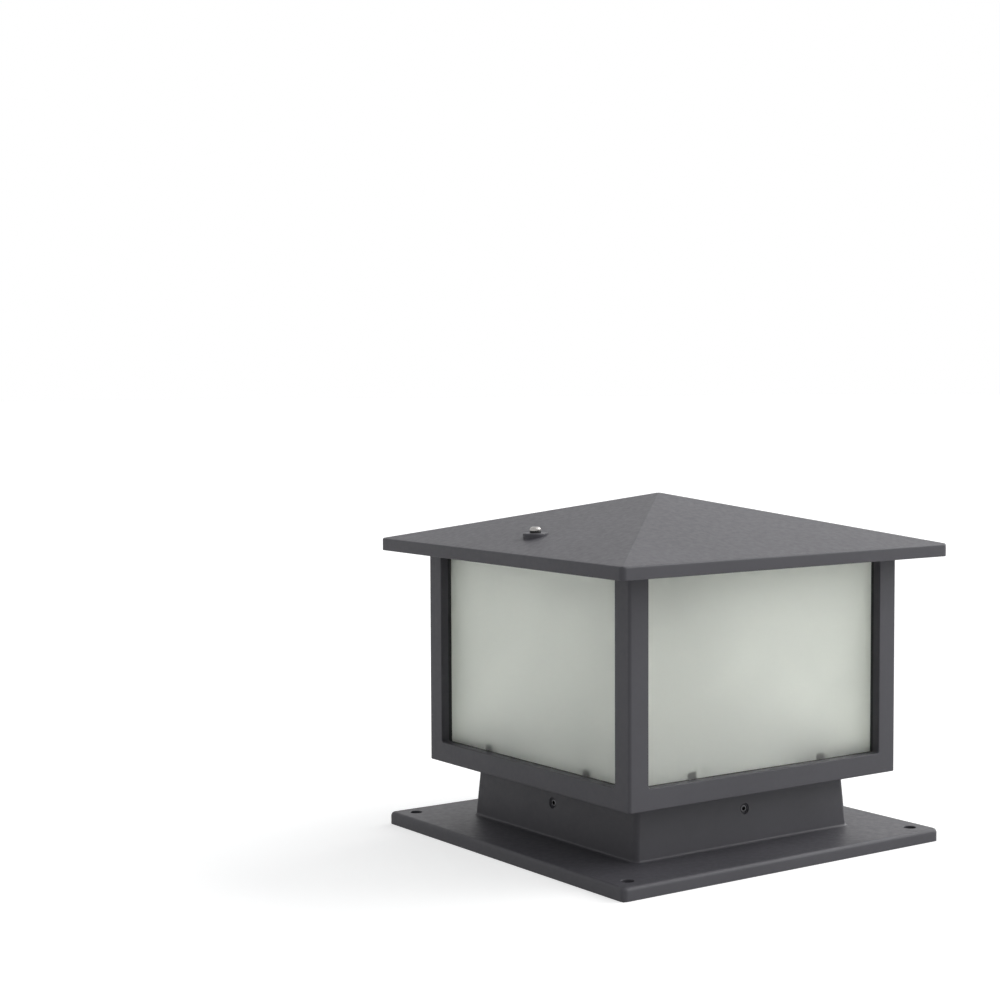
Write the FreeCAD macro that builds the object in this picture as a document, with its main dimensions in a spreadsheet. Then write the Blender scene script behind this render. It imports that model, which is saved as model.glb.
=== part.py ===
"""Deck post cap light: a square cast lantern on a tapered neck and a bolted flange.

Millimetres. Z is up, and the origin is the centre of the flange's underside.
The front window faces -Y; the two roof screws stand on the left and right slopes.
"""

import FreeCAD, Part
import math
import os

import Sketcher

SIZES = {
    # flange, a shallow pan open underneath; it stands out round the neck's foot
    "flange_margin": 47,
    "flange_thick": 9.5,
    "flange_skin": 3.5,
    "flange_rim": 4,
    "flange_corner": 4,
    "flange_edge": 3,
    "bolt_inset": 15,
    "bolt_hole": 9,
    "bolt_boss": 18,
    "rib_thick": 3,
    "rib_spacing": 110,
    "rib_clear": 1.5,
    # neck, one casting with the flange; its top is set in under the frame
    "neck_inset": 27,
    "neck_flare": 3,
    "neck_rise": 41.5,
    "neck_wall": 4.5,
    "neck_corner": 4,
    "neck_root": 2,
    "neck_screw_drop": 16.5,
    "neck_screw_size": 6,
    "neck_screw_point": 4.2,
    "neck_screw_lead_in": 0.9,
    "neck_screw_bevel": 0.5,
    "neck_screw_socket": 3,
    "neck_screw_socket_depth": 2.5,
    "neck_recess_size": 7.8,
    "neck_recess_depth": 1,
    # lantern frame
    "frame_width": 247,
    "frame_wall": 3,
    "frame_corner": 2,
    "frame_show": 159,
    "frame_roof_gap": 0.3,
    "rail_height": 15,
    "opening_drop": 0.5,
    "opening_corner": 2,
    "reveal_depth": 6.4,
    "reveal_wall": 2.5,
    "floor_thick": 3,
    "top_flange_thick": 3,
    "collar_gap": 0.6,
    "collar_wall": 3,
    "collar_drop": 24,
    # panes, their seals and their clips
    "seal_thick": 3,
    "pane_thick": 4,
    "pane_lap": 3,
    "pane_play": 0.5,
    "pane_corner_gap": 0.4,
    "clip_spacing": 120,
    "clip_width": 8,
    "clip_thick": 0.8,
    "clip_rise": 7,
    "clip_reach": 12,
    "clip_screw_setback": 7,
    "clip_screw_size": 3,
    "clip_screw_length": 6,
    "clip_lug_width": 12,
    # roof
    "roof_overhang": 26.5,
    "skirt_height": 9,
    "roof_rise": 36,
    "roof_wall": 3,
    "roof_corner": 4,
    "roof_tip": 2,
    "roof_screw_setback": 11.5,
    "roof_screw_size": 4,
    "roof_screw_length": 16,
    "roof_boss": 18,
    "roof_pillar": 12,
    "roof_pillar_gap": 0.3,
    "roof_lug": 10,
    "roof_lug_drop": 8.5,
    "washer_size": 8.2,
    "washer_thick": 1.5,
    "gasket_width": 6,
    "gasket_thick": 2,
    "gasket_gap": 1,
    "gasket_inset": 2.5,
    "press_rib": 4,
    # gear tray
    "tray_thick": 1.5,
    "tray_play": 0.4,
    "tray_sink": 0.5,
    "tray_lug": 14,
    "tray_lug_thick": 8.5,
    "tray_screw_size": 4,
    "tray_screw_length": 8,
    # lamp holder and its bracket
    "bracket_width": 24,
    "bracket_thick": 1.5,
    "bracket_span": 44,
    "bracket_rise": 10,
    "bracket_foot": 14,
    "bracket_screw_size": 3,
    "bracket_screw_length": 6,
    "holder_size": 40,
    "holder_foot_size": 44,
    "holder_foot_height": 6,
    "holder_foot_slope": 2,
    "holder_floor": 12,
    "holder_screw_spacing": 18,
    "holder_screw_size": 3,
    "holder_screw_length": 17,
    "shell_wall": 0.5,
    "shell_height": 24,
    "shell_setback": 1,
    "contact_width": 6,
    "contact_thick": 0.5,
    "contact_height": 4.5,
    "contact_tail": 9,
    "contact_reach": 6,
    "contact_rise": 2,
    "contact_lip": 3,
    # lamp
    "cap_size": 26.3,
    "cap_height": 20,
    "cap_wall": 0.5,
    "cap_shoulder": 2,
    "cap_play": 0.1,
    "tip_size": 9,
    "tip_height": 1.5,
    "tip_crown": 4.5,
    "tip_rim": 0.5,
    "insulator_height": 3,
    "insulator_lip": 1,
    "housing_height": 37,
    "housing_top": 43,
    "housing_wall": 2,
    "housing_foot_height": 3,
    "housing_foot_lap": 3,
    "bulb_size": 60,
    "bulb_taper": 20,
    "bulb_wall": 1.2,
    # terminal block
    "block_place": 62,
    "block_width": 17,
    "block_web": 6,
    "pole_pitch": 10,
    "pole_size": 8,
    "pole_height": 15,
    "sleeve_size": 5,
    "sleeve_bore": 3,
    "sleeve_height": 6,
    "sleeve_setback": 1,
    "terminal_screw_size": 2,
    "terminal_screw_length": 4,
    "terminal_shaft": 4.5,
    "block_screw_size": 2,
    "block_screw_length": 9,
    # cable gland
    "gland_place": 55,
    "gland_thread": 16,
    "gland_bore": 9,
    "gland_hex": 19,
    "gland_hex_height": 5,
    "gland_thread_show": 2,
    "locknut_hex": 22,
    "locknut_height": 5,
    "dome_size": 19,
    "dome_height": 14,
    "dome_lip": 3,
    "seal_ring_height": 5,
    "seal_ring_play": 0.5,
    "dome_mouth_play": 0.5,
    "cable_size": 8,
    # leads and earth
    "lead_size": 2.4,
    "lead_entry_rise": 3,
    "earth_place": 45,
    "earth_loop": 14,
    "earth_screw_size": 4,
    "tag_thick": 0.8,
    # fits
    "thread_play": 0.05,
    "screw_play": 0.25,
    "running_gap": 0.3,
    # how far a cut runs past the face that it leaves
    "overrun": 1,
}
NEAR = 0.01

doc = FreeCAD.newDocument("PostCapLight")
sheet = doc.addObject("Spreadsheet::Sheet", "Dim")
for row, (alias, value) in enumerate(SIZES.items(), start=1):
    sheet.set(f"A{row}", alias)
    sheet.set(f"B{row}", str(value))
    sheet.setAlias(f"B{row}", alias)
doc.recompute()

# Heights, measured up from the flange's underside.
NECK_TOP = "(Dim.flange_thick + Dim.neck_rise)"
FLOOR_TOP = f"({NECK_TOP} + Dim.floor_thick)"
SILL = f"({NECK_TOP} + Dim.rail_height)"
EAVE = f"({NECK_TOP} + Dim.frame_show)"
HEAD = f"({EAVE} - Dim.opening_drop)"
SKIRT_TOP = f"({EAVE} + Dim.skirt_height)"
APEX = f"({SKIRT_TOP} + Dim.roof_rise)"
PANE_FOOT = f"({SILL} - Dim.pane_lap)"
PANE_TOP = f"({HEAD} + Dim.pane_lap)"
WINDOW_MID = f"(({PANE_FOOT} + {PANE_TOP} + Dim.pane_play) / 2)"
TRAY_SEAT = f"({NECK_TOP} - Dim.tray_sink)"
TRAY_TOP = f"({TRAY_SEAT} + Dim.tray_thick)"
BRACKET_TOP = f"({TRAY_TOP} + Dim.bracket_rise)"
HOLDER_FLOOR = f"({BRACKET_TOP} + Dim.holder_floor)"
CONTACT_TOP = f"({HOLDER_FLOOR} + Dim.contact_height)"
TIP_FOOT = f"({CONTACT_TOP} + Dim.running_gap)"
INSULATOR_FOOT = f"({TIP_FOOT} + Dim.tip_height)"
CAP_FOOT = f"({INSULATOR_FOOT} + Dim.insulator_height)"
HOUSING_FOOT = f"({CAP_FOOT} + Dim.cap_height)"
HOLDER_TOP = f"({HOUSING_FOOT} - Dim.running_gap)"
HOUSING_TOP = f"({HOUSING_FOOT} + Dim.housing_height)"
LEAD_HEIGHT = f"({TRAY_TOP} + Dim.sleeve_height)"
LEAD_ENTRY = f"({BRACKET_TOP} + Dim.lead_entry_rise)"

# Half widths, measured out from the centre line.
FRAME_HALF = "(Dim.frame_width / 2)"
SEAL_FACE = f"({FRAME_HALF} - Dim.reveal_depth)"
PANE_FACE = f"({SEAL_FACE} - Dim.seal_thick)"
PANE_BACK = f"({PANE_FACE} - Dim.pane_thick)"
PANE_HALF = f"({PANE_BACK} - Dim.pane_corner_gap)"
OPENING_HALF = f"({PANE_HALF} - Dim.reveal_wall)"
NECK_TOP_HALF = f"({FRAME_HALF} - Dim.neck_inset)"
NECK_FOOT_HALF = f"({NECK_TOP_HALF} + Dim.neck_flare)"
NECK_AT_SCREW = f"({NECK_TOP_HALF} + Dim.neck_flare * Dim.neck_screw_drop / Dim.neck_rise)"
RECESS_FLOOR = f"({NECK_AT_SCREW} - Dim.neck_recess_depth)"
FLANGE_HALF = f"({NECK_FOOT_HALF} + Dim.flange_margin)"
BOLT = f"({FLANGE_HALF} - Dim.bolt_inset)"
COLLAR_HALF = f"({NECK_TOP_HALF} - Dim.neck_wall - Dim.collar_gap)"
COLLAR_BORE = f"({COLLAR_HALF} - Dim.collar_wall)"
CLIP_SCREW = f"({PANE_BACK} - Dim.clip_screw_setback)"
TRAY_HALF = f"({COLLAR_BORE} - Dim.tray_play)"
TRAY_SCREW = f"({COLLAR_BORE} - Dim.tray_lug / 2)"
ROOF_HALF = f"({FRAME_HALF} + Dim.roof_overhang)"
ROOF_SCREW = f"({FRAME_HALF} - Dim.roof_screw_setback)"
GASKET_OUTER = f"({ROOF_SCREW} - Dim.roof_pillar / 2 - Dim.gasket_gap)"
GASKET_INNER = f"({GASKET_OUTER} - Dim.gasket_width)"
TOP_FLANGE_BORE = f"({GASKET_INNER} - Dim.gasket_inset)"
ROOF_SLOPE = f"(Dim.roof_rise / {ROOF_HALF})"
BOSS_TOP = f"({APEX} - {ROOF_SLOPE} * ({ROOF_SCREW} - Dim.roof_boss / 2))"
ROOF_UNDER_APEX = f"({APEX} - Dim.roof_wall * sqrt(1 + {ROOF_SLOPE} * {ROOF_SLOPE}))"
FRAME_TOP = f"({ROOF_UNDER_APEX} - {ROOF_SLOPE} * {FRAME_HALF} - Dim.frame_roof_gap)"
SHELL_BORE = "(Dim.cap_size / 2 + Dim.cap_play)"
BRACKET_SCREW = "((Dim.bracket_span + Dim.bracket_foot) / 2)"
BLOCK_LEFT = "(Dim.block_place - Dim.block_width / 2)"
BLOCK_LENGTH = "(3 * Dim.pole_pitch)"

SIDES = ("front", "right", "back", "left")
nodes = []


def size_of(text):
    """The value of an expression, in millimetres."""
    return float(sheet.evalExpression(text.replace("Dim.", "")))


def bind(thing, **sizes):
    """Ties properties to expressions; a double underscore stands for a dot."""
    for prop, text in sizes.items():
        thing.setExpression(prop.replace("__", "."), text)
    return thing


def put(thing, x="0", y="0", z="0"):
    """Ties the placement of a thing to expressions."""
    return bind(thing, Placement__Base__x=x, Placement__Base__y=y, Placement__Base__z=z)


def keep(thing, label):
    """Makes a thing one of the exported sub-parts."""
    thing.Label = label
    nodes.append(thing)
    return thing


# ---- PartDesign helpers ----


def new_body(name):
    return doc.addObject("PartDesign::Body", name)


def sketch_on(body, name, role, lift="0"):
    """A sketch on one of the body's own origin planes, lifted along its normal."""
    sketch = body.newObject("Sketcher::SketchObject", name)
    plane = next(item for item in body.Origin.OriginFeatures if item.Role == role)
    sketch.AttachmentSupport = [(plane, "")]
    sketch.MapMode = "FlatFace"
    return bind(sketch, AttachmentOffset__Base__z=lift)


def pin(sketch, shape, point, x, y):
    """Fixes a point of a sketch at two expressions, measured from its origin."""
    for kind, text in (("DistanceX", x), ("DistanceY", y)):
        number = sketch.addConstraint(
            Sketcher.Constraint(kind, -1, 1, shape, point, size_of(text))
        )
        sketch.setExpression(f"Constraints[{number}]", text)


def outline(sketch, corners):
    """A closed outline of straight lines through corners given as expressions."""
    points = [FreeCAD.Vector(size_of(x), size_of(y), 0) for x, y in corners]
    ends = points[1:] + points[:1]
    lines = [
        sketch.addGeometry(Part.LineSegment(start, end), False)
        for start, end in zip(points, ends)
    ]
    for line, following in zip(lines, lines[1:] + lines[:1]):
        sketch.addConstraint(Sketcher.Constraint("Coincident", line, 2, following, 1))
    for line, (x, y) in zip(lines, corners):
        pin(sketch, line, 1, x, y)
    return sketch


def rectangle(sketch, left, bottom, right, top):
    return outline(sketch, [(left, bottom), (right, bottom), (right, top), (left, top)])


def square(sketch, half):
    return rectangle(sketch, f"-{half}", f"-{half}", half, half)


def circle(sketch, x, y, diameter):
    centre = FreeCAD.Vector(size_of(x), size_of(y), 0)
    ring = sketch.addGeometry(
        Part.Circle(centre, FreeCAD.Vector(0, 0, 1), size_of(diameter) / 2), False
    )
    pin(sketch, ring, 3, x, y)
    number = sketch.addConstraint(Sketcher.Constraint("Diameter", ring, size_of(diameter)))
    sketch.setExpression(f"Constraints[{number}]", diameter)
    return sketch


def feature(body, kind, name, sketch, length, reverse=False, midplane=False):
    """A pad or a pocket of a sketch."""
    made = body.newObject(kind, name)
    made.Profile = sketch
    made.Reversed = reverse
    made.Midplane = midplane
    sketch.Visibility = False
    return bind(made, Length=length)


def pad(body, name, sketch, length, **how):
    return feature(body, "PartDesign::Pad", name, sketch, length, **how)


def pocket(body, name, sketch, length, **how):
    return feature(body, "PartDesign::Pocket", name, sketch, length, **how)


def loft(body, kind, name, lower, upper):
    made = body.newObject(kind, name)
    made.Profile = lower
    made.Sections = [upper]
    made.Ruled = True
    return made


def four_times(body, name, *originals):
    """Repeats features on the four sides of a square casting."""
    axis = next(item for item in body.Origin.OriginFeatures if item.Role == "Z_Axis")
    made = body.newObject("PartDesign::PolarPattern", name)
    made.Originals = list(originals)
    made.Axis = (axis, [""])
    made.Angle = 360
    made.Occurrences = len(SIDES)
    body.Tip = made
    return made


def round_edges(body, name, radius, test, kind="PartDesign::Fillet"):
    """Rounds, or chamfers, each edge of the body's tip that passes a test."""
    doc.recompute()
    base = body.Tip
    chosen = [
        f"Edge{number}"
        for number, edge in enumerate(base.Shape.Edges, start=1)
        if test(edge)
    ]
    made = body.newObject(kind, name)
    made.Base = (base, chosen)
    return bind(made, **{"Size" if kind.endswith("Chamfer") else "Radius": radius})


def turned(name, profile):
    """A body turned about the Z axis from a half outline of (radius, height) pairs."""
    body = new_body(name)
    sketch = outline(sketch_on(body, f"{name}_profile", "XZ_Plane"), profile)
    axis = next(item for item in body.Origin.OriginFeatures if item.Role == "Z_Axis")
    revolution = body.newObject("PartDesign::Revolution", f"{name}_turned")
    revolution.Profile = sketch
    revolution.ReferenceAxis = (axis, [""])
    revolution.Angle = 360
    return body


def upright(edge):
    """True for a straight edge that climbs."""
    low, high = sorted(vertex.Z for vertex in edge.Vertexes) if len(edge.Vertexes) == 2 else (0, 0)
    return high - low > size_of("Dim.flange_skin")


def lies_at(height):
    """A test for edges that lie flat at one height."""
    level = size_of(height)
    return lambda edge: max(abs(vertex.Z - level) for vertex in edge.Vertexes) < NEAR


# ---- Part helpers ----


def box(name, x, y, z, length, width, height):
    made = bind(doc.addObject("Part::Box", name), Length=length, Width=width, Height=height)
    return put(made, x, y, z)


def rod(name, x, y, z, diameter, height):
    """An upright cylinder standing on the point given."""
    made = bind(doc.addObject("Part::Cylinder", name), Radius=f"({diameter}) / 2", Height=height)
    return put(made, x, y, z)


def level_rod(name, x, y, z, diameter, length):
    """A cylinder lying along X from the point given."""
    made = rod(name, x, y, z, diameter, length)
    made.Placement.Rotation = FreeCAD.Rotation(FreeCAD.Vector(0, 1, 0), 90)
    return made


def fused(name, *pieces):
    made = doc.addObject("Part::MultiFuse", name)
    made.Shapes = list(pieces)
    return made


def cut(name, base, *tools):
    """A base with one tool, or several fused together, taken away."""
    made = doc.addObject("Part::Cut", name)
    made.Base = base
    made.Tool = tools[0] if len(tools) == 1 else fused(f"{name}_tools", *tools)
    return made


def common(name, base, tool):
    made = doc.addObject("Part::Common", name)
    made.Base = base
    made.Tool = tool
    return made


def copy_at(name, source, x="0", y="0", z="0", turn=0, axis=FreeCAD.Vector(0, 0, 1)):
    """The same piece again, turned in degrees about an axis and then moved."""
    made = doc.addObject("Part::Compound", name)
    made.Links = [source]
    made.Placement.Rotation = FreeCAD.Rotation(axis, turn)
    return put(made, x, y, z)


def group(name, pieces):
    made = doc.addObject("Part::Compound", name)
    made.Links = pieces
    return made


def on_each_side(name, source):
    """Four copies of a piece of the front window, one for each side."""
    quarter = 360 / len(SIDES)
    return [
        copy_at(f"{name}_{side}", source, turn=quarter * number)
        for number, side in enumerate(SIDES)
    ]


def side_wedges(name, reach, foot, height):
    """Four tools, each covering the quarter of a square shape behind one of its sides."""
    wedge = new_body(name)
    triangle = outline(
        sketch_on(wedge, f"{name}_outline", "XY_Plane", foot),
        [("0", "0"), (f"-{reach}", f"-{reach}"), (reach, f"-{reach}")],
    )
    pad(wedge, f"{name}_pad", triangle, height)
    return on_each_side(f"{name}_copy", wedge)


def mirrored(name, source, normal, level="0"):
    """A piece together with its mirror image across a plane."""
    image = doc.addObject("Part::Mirroring", f"{name}_image")
    image.Source = source
    image.Normal = normal
    bind(image, Base__z=level)
    return group(name, [source, image])


# Proportions of a pan-head screw, as shares of its thread size.
HEAD_RISE = 0.7
LEAD_IN = 0.12
RECESS_ARM = 0.55
RECESS_HALF_WIDTH = 0.12
RECESS_DEPTH = 0.4
# The dome's radius, as a share of the head's rise.
DOME_ROUND = 0.7


def pan_screw(name, size, length):
    """A pan-head screw with a cross recess; its head sits on the height zero."""
    radius = f"({size} / 2)"
    head = f"({size})"
    rise = f"({size} * {HEAD_RISE})"
    lead_in = f"({size} * {LEAD_IN})"
    body = turned(
        name,
        [
            ("0", f"-{length}"),
            (f"{radius} - {lead_in}", f"-{length}"),
            (radius, f"-{length} + {lead_in}"),
            (radius, "0"),
            (head, "0"),
            (head, rise),
            ("0", rise),
        ],
    )
    round_edges(body, f"{name}_dome", f"{rise} * {DOME_ROUND}", lies_at(rise))
    arm = f"({size} * {RECESS_ARM})"
    slot = f"({size} * {RECESS_HALF_WIDTH})"
    cross = outline(
        sketch_on(body, f"{name}_cross", "XY_Plane", rise),
        [
            (slot, slot), (arm, slot), (arm, f"-{slot}"), (slot, f"-{slot}"),
            (slot, f"-{arm}"), (f"-{slot}", f"-{arm}"), (f"-{slot}", f"-{slot}"),
            (f"-{arm}", f"-{slot}"), (f"-{arm}", slot), (f"-{slot}", slot),
            (f"-{slot}", arm), (slot, arm),
        ],
    )
    pocket(body, f"{name}_recess", cross, f"{size} * {RECESS_DEPTH}")
    return body


# ---- base: flange, neck, bolt bosses and ribs in one casting ----


def base_casting():
    body = new_body("base_body")
    plate = square(sketch_on(body, "flange_outline", "XY_Plane"), FLANGE_HALF)
    pad(body, "flange", plate, "Dim.flange_thick")
    round_edges(body, "flange_corners", "Dim.flange_corner", upright)
    round_edges(body, "flange_edge", "Dim.flange_edge", lies_at("Dim.flange_thick"))

    neck_foot = square(
        sketch_on(body, "neck_foot", "XY_Plane", "Dim.flange_thick"), NECK_FOOT_HALF
    )
    neck_top = square(
        sketch_on(body, "neck_top", "XY_Plane", NECK_TOP), NECK_TOP_HALF
    )
    loft(body, "PartDesign::AdditiveLoft", "neck", neck_foot, neck_top)
    flange_top_height = size_of("Dim.flange_thick")
    round_edges(
        body, "neck_corners", "Dim.neck_corner",
        lambda edge: upright(edge) and edge.CenterOfMass.z > flange_top_height,
    )
    inside_flange = size_of(f"{NECK_FOOT_HALF} + Dim.neck_root")
    round_edges(
        body, "neck_root", "Dim.neck_root",
        lambda edge: lies_at("Dim.flange_thick")(edge)
        and max(abs(edge.CenterOfMass.x), abs(edge.CenterOfMass.y)) < inside_flange,
    )

    ceiling = "(Dim.flange_thick - Dim.flange_skin)"
    pan = square(
        sketch_on(body, "pan_outline", "XY_Plane"), f"({FLANGE_HALF} - Dim.flange_rim)"
    )
    pocket(body, "pan", pan, ceiling, reverse=True)
    hollow_foot = square(
        sketch_on(body, "hollow_foot", "XY_Plane", ceiling),
        f"({NECK_FOOT_HALF} - Dim.neck_wall)",
    )
    hollow_top = square(
        sketch_on(body, "hollow_top", "XY_Plane", NECK_TOP),
        f"({NECK_TOP_HALF} - Dim.neck_wall)",
    )
    loft(body, "PartDesign::SubtractiveLoft", "neck_hollow", hollow_foot, hollow_top)

    boss = circle(sketch_on(body, "bolt_boss", "XY_Plane"), BOLT, BOLT, "Dim.bolt_boss")
    bosses = pad(body, "bolt_boss_pad", boss, ceiling)
    rib_side = "(Dim.rib_spacing / 2)"
    rib = rectangle(
        sketch_on(body, "rib_outline", "XY_Plane", ceiling),
        f"{rib_side} - Dim.rib_thick / 2", f"-({FLANGE_HALF} - Dim.flange_rim)",
        f"{rib_side} + Dim.rib_thick / 2", f"-({NECK_FOOT_HALF} - Dim.neck_wall)",
    )
    ribs = pad(body, "rib", rib, f"{ceiling} - Dim.rib_clear", reverse=True)
    twin = rectangle(
        sketch_on(body, "twin_rib_outline", "XY_Plane", ceiling),
        f"-{rib_side} - Dim.rib_thick / 2", f"-({FLANGE_HALF} - Dim.flange_rim)",
        f"-{rib_side} + Dim.rib_thick / 2", f"-({NECK_FOOT_HALF} - Dim.neck_wall)",
    )
    twins = pad(body, "twin_rib", twin, f"{ceiling} - Dim.rib_clear", reverse=True)
    four_times(body, "bosses_and_ribs", bosses, ribs, twins)

    hole = circle(sketch_on(body, "bolt_hole", "XY_Plane"), BOLT, BOLT, "Dim.bolt_hole")
    bolt_holes = pocket(body, "bolt_hole_cut", hole, "Dim.flange_thick + Dim.overrun", reverse=True)
    screw_height = f"({NECK_TOP} - Dim.neck_screw_drop)"
    recess = circle(
        sketch_on(body, "recess_outline", "XZ_Plane", RECESS_FLOOR),
        "0", screw_height, "Dim.neck_recess_size",
    )
    recesses = pocket(body, "screw_recess", recess, "Dim.neck_wall", reverse=True)
    tapping = circle(
        sketch_on(body, "tapping_outline", "XZ_Plane", NECK_AT_SCREW),
        "0", screw_height, "Dim.neck_screw_size + 2 * Dim.thread_play",
    )
    tappings = pocket(body, "screw_tapping", tapping, "2 * Dim.neck_wall")
    four_times(body, "holes", bolt_holes, recesses, tappings)
    keep(body, "base_casting")


def neck_screws():
    """Hexagon-socket set screws that stop just short of the lantern's collar."""
    length = f"({RECESS_FLOOR} - {COLLAR_HALF} - Dim.running_gap)"
    body = turned(
        "set_screw",
        [
            ("0", f"-{length}"),
            ("Dim.neck_screw_point / 2", f"-{length}"),
            ("Dim.neck_screw_size / 2", f"-{length} + Dim.neck_screw_lead_in"),
            ("Dim.neck_screw_size / 2", "-Dim.neck_screw_bevel"),
            ("Dim.neck_screw_size / 2 - Dim.neck_screw_bevel", "0"),
            ("0", "0"),
        ],
    )
    flat = "(Dim.neck_screw_socket / 2)"
    point = f"({flat} / cos(30))"
    hexagon = outline(
        sketch_on(body, "socket_outline", "XY_Plane"),
        [
            (point, "0"), (f"{point} / 2", flat), (f"-{point} / 2", flat),
            (f"-{point}", "0"), (f"-{point} / 2", f"-{flat}"), (f"{point} / 2", f"-{flat}"),
        ],
    )
    pocket(body, "socket", hexagon, "Dim.neck_screw_socket_depth")
    outward = copy_at(
        "set_screw_front", body,
        y=f"-{RECESS_FLOOR}", z=f"{NECK_TOP} - Dim.neck_screw_drop",
        turn=90, axis=FreeCAD.Vector(1, 0, 0),
    )
    for side, screw in zip(SIDES, on_each_side("neck_screw_copy", outward)):
        keep(screw, f"neck_screw_{side}")


# ---- lantern body: a floor, four mitred window frames and a top ring, welded together ----


def lantern_body():
    """The whole shape, cut at the welds into the pieces that it is made from."""
    body = new_body("frame_body")
    block = square(sketch_on(body, "frame_outline", "XY_Plane", NECK_TOP), FRAME_HALF)
    pad(body, "frame_block", block, f"{FRAME_TOP} - {NECK_TOP}")
    round_edges(body, "frame_corners", "Dim.frame_corner", upright)
    room = square(
        sketch_on(body, "room_outline", "XY_Plane", FLOOR_TOP), f"({FRAME_HALF} - Dim.frame_wall)"
    )
    ceiling = f"({FRAME_TOP} - Dim.top_flange_thick)"
    pocket(body, "room", room, f"{ceiling} - {FLOOR_TOP}", reverse=True)
    top_hole = square(
        sketch_on(body, "top_hole_outline", "XY_Plane", FRAME_TOP), TOP_FLANGE_BORE
    )
    pocket(body, "top_hole", top_hole, "Dim.top_flange_thick + Dim.overrun")
    collar = square(sketch_on(body, "collar_outline", "XY_Plane", NECK_TOP), COLLAR_HALF)
    pad(body, "collar", collar, "Dim.collar_drop", reverse=True)
    collar_bore = square(sketch_on(body, "collar_bore_outline", "XY_Plane", FLOOR_TOP), COLLAR_BORE)
    pocket(body, "collar_bore", collar_bore, "Dim.collar_drop + Dim.floor_thick + Dim.overrun")

    surround = rectangle(
        sketch_on(body, "surround_outline", "XZ_Plane", FRAME_HALF),
        f"-{PANE_HALF}", f"{SILL} - Dim.reveal_wall", PANE_HALF, f"{HEAD} + Dim.reveal_wall",
    )
    surrounds = pad(body, "surround", surround, "Dim.reveal_depth", reverse=True)
    lugs = []
    for sign in ("", "-"):
        middle = f"{sign}Dim.clip_spacing / 2"
        for name, lift, length, up in (
            ("low", FLOOR_TOP, f"{PANE_FOOT} - {FLOOR_TOP}", False),
            ("high", ceiling, f"{ceiling} - {PANE_TOP} - Dim.pane_play", True),
        ):
            label = f"{name}_lug{'_twin' if sign else ''}"
            seat = rectangle(
                sketch_on(body, f"{label}_outline", "XY_Plane", lift),
                f"{middle} - Dim.clip_lug_width / 2", f"-({FRAME_HALF} - Dim.frame_wall / 2)",
                f"{middle} + Dim.clip_lug_width / 2", f"-{TOP_FLANGE_BORE}",
            )
            lugs.append(pad(body, label, seat, length, reverse=up))
    tray_lug = rectangle(
        sketch_on(body, "tray_lug_outline", "XY_Plane", TRAY_SEAT),
        f"{COLLAR_BORE} - Dim.tray_lug", f"{COLLAR_BORE} - Dim.tray_lug",
        f"{COLLAR_HALF} - Dim.collar_wall / 2", f"{COLLAR_HALF} - Dim.collar_wall / 2",
    )
    tray_lugs = pad(body, "tray_lug", tray_lug, "Dim.tray_lug_thick", reverse=True)
    four_times(body, "surrounds_and_lugs", surrounds, *lugs, tray_lugs)

    window = rectangle(
        sketch_on(body, "window_outline", "XZ_Plane", FRAME_HALF),
        f"-{OPENING_HALF}", SILL, OPENING_HALF, HEAD,
    )
    windows = pocket(body, "window", window, "Dim.reveal_depth + Dim.overrun")
    holes = []
    clip_hole = "Dim.clip_screw_size + 2 * Dim.thread_play"
    for sign in ("", "-"):
        for name, lift, up in (
            ("low", PANE_FOOT, False),
            ("high", f"({PANE_TOP} + Dim.pane_play)", True),
        ):
            label = f"{name}_clip_hole{'_twin' if sign else ''}"
            spot = circle(
                sketch_on(body, f"{label}_outline", "XY_Plane", lift),
                f"{sign}Dim.clip_spacing / 2", f"-{CLIP_SCREW}", clip_hole,
            )
            depth = f"Dim.clip_screw_length + {'Dim.top_flange_thick' if up else 'Dim.overrun'}"
            holes.append(pocket(body, label, spot, depth, reverse=up))
    tray_hole = circle(
        sketch_on(body, "tray_hole_outline", "XY_Plane", TRAY_SEAT),
        TRAY_SCREW, TRAY_SCREW, "Dim.tray_screw_size + 2 * Dim.thread_play",
    )
    tray_holes = pocket(body, "tray_hole", tray_hole, "Dim.tray_lug_thick + Dim.overrun")
    four_times(body, "windows_and_holes", windows, *holes, tray_holes)

    opening_half = size_of(OPENING_HALF)
    opening_ends = (size_of(SILL), size_of(HEAD))

    def in_window_corner(edge):
        middle = edge.CenterOfMass
        sides = sorted((abs(middle.x), abs(middle.y)))
        return (
            len(edge.Vertexes) == 2
            and abs(edge.Vertexes[0].Z - edge.Vertexes[1].Z) < NEAR
            and min(abs(middle.z - level) for level in opening_ends) < NEAR
            and abs(sides[0] - opening_half) < NEAR
        )

    round_edges(body, "window_corners", "Dim.opening_corner", in_window_corner)

    reach = f"({FRAME_HALF} + Dim.overrun)"
    below = box(
        "below_floor_top", f"-{reach}", f"-{reach}", f"{FLOOR_TOP} - {reach}",
        f"2 * {reach}", f"2 * {reach}", reach,
    )
    keep(common("floor_piece", body, below), "floor_casting")

    tools = side_wedges("side_wedge", reach, FLOOR_TOP, f"{ceiling} - {FLOOR_TOP}")
    for side, tool in zip(SIDES, tools):
        keep(common(f"side_piece_{side}", body, tool), f"window_frame_{side}")

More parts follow.
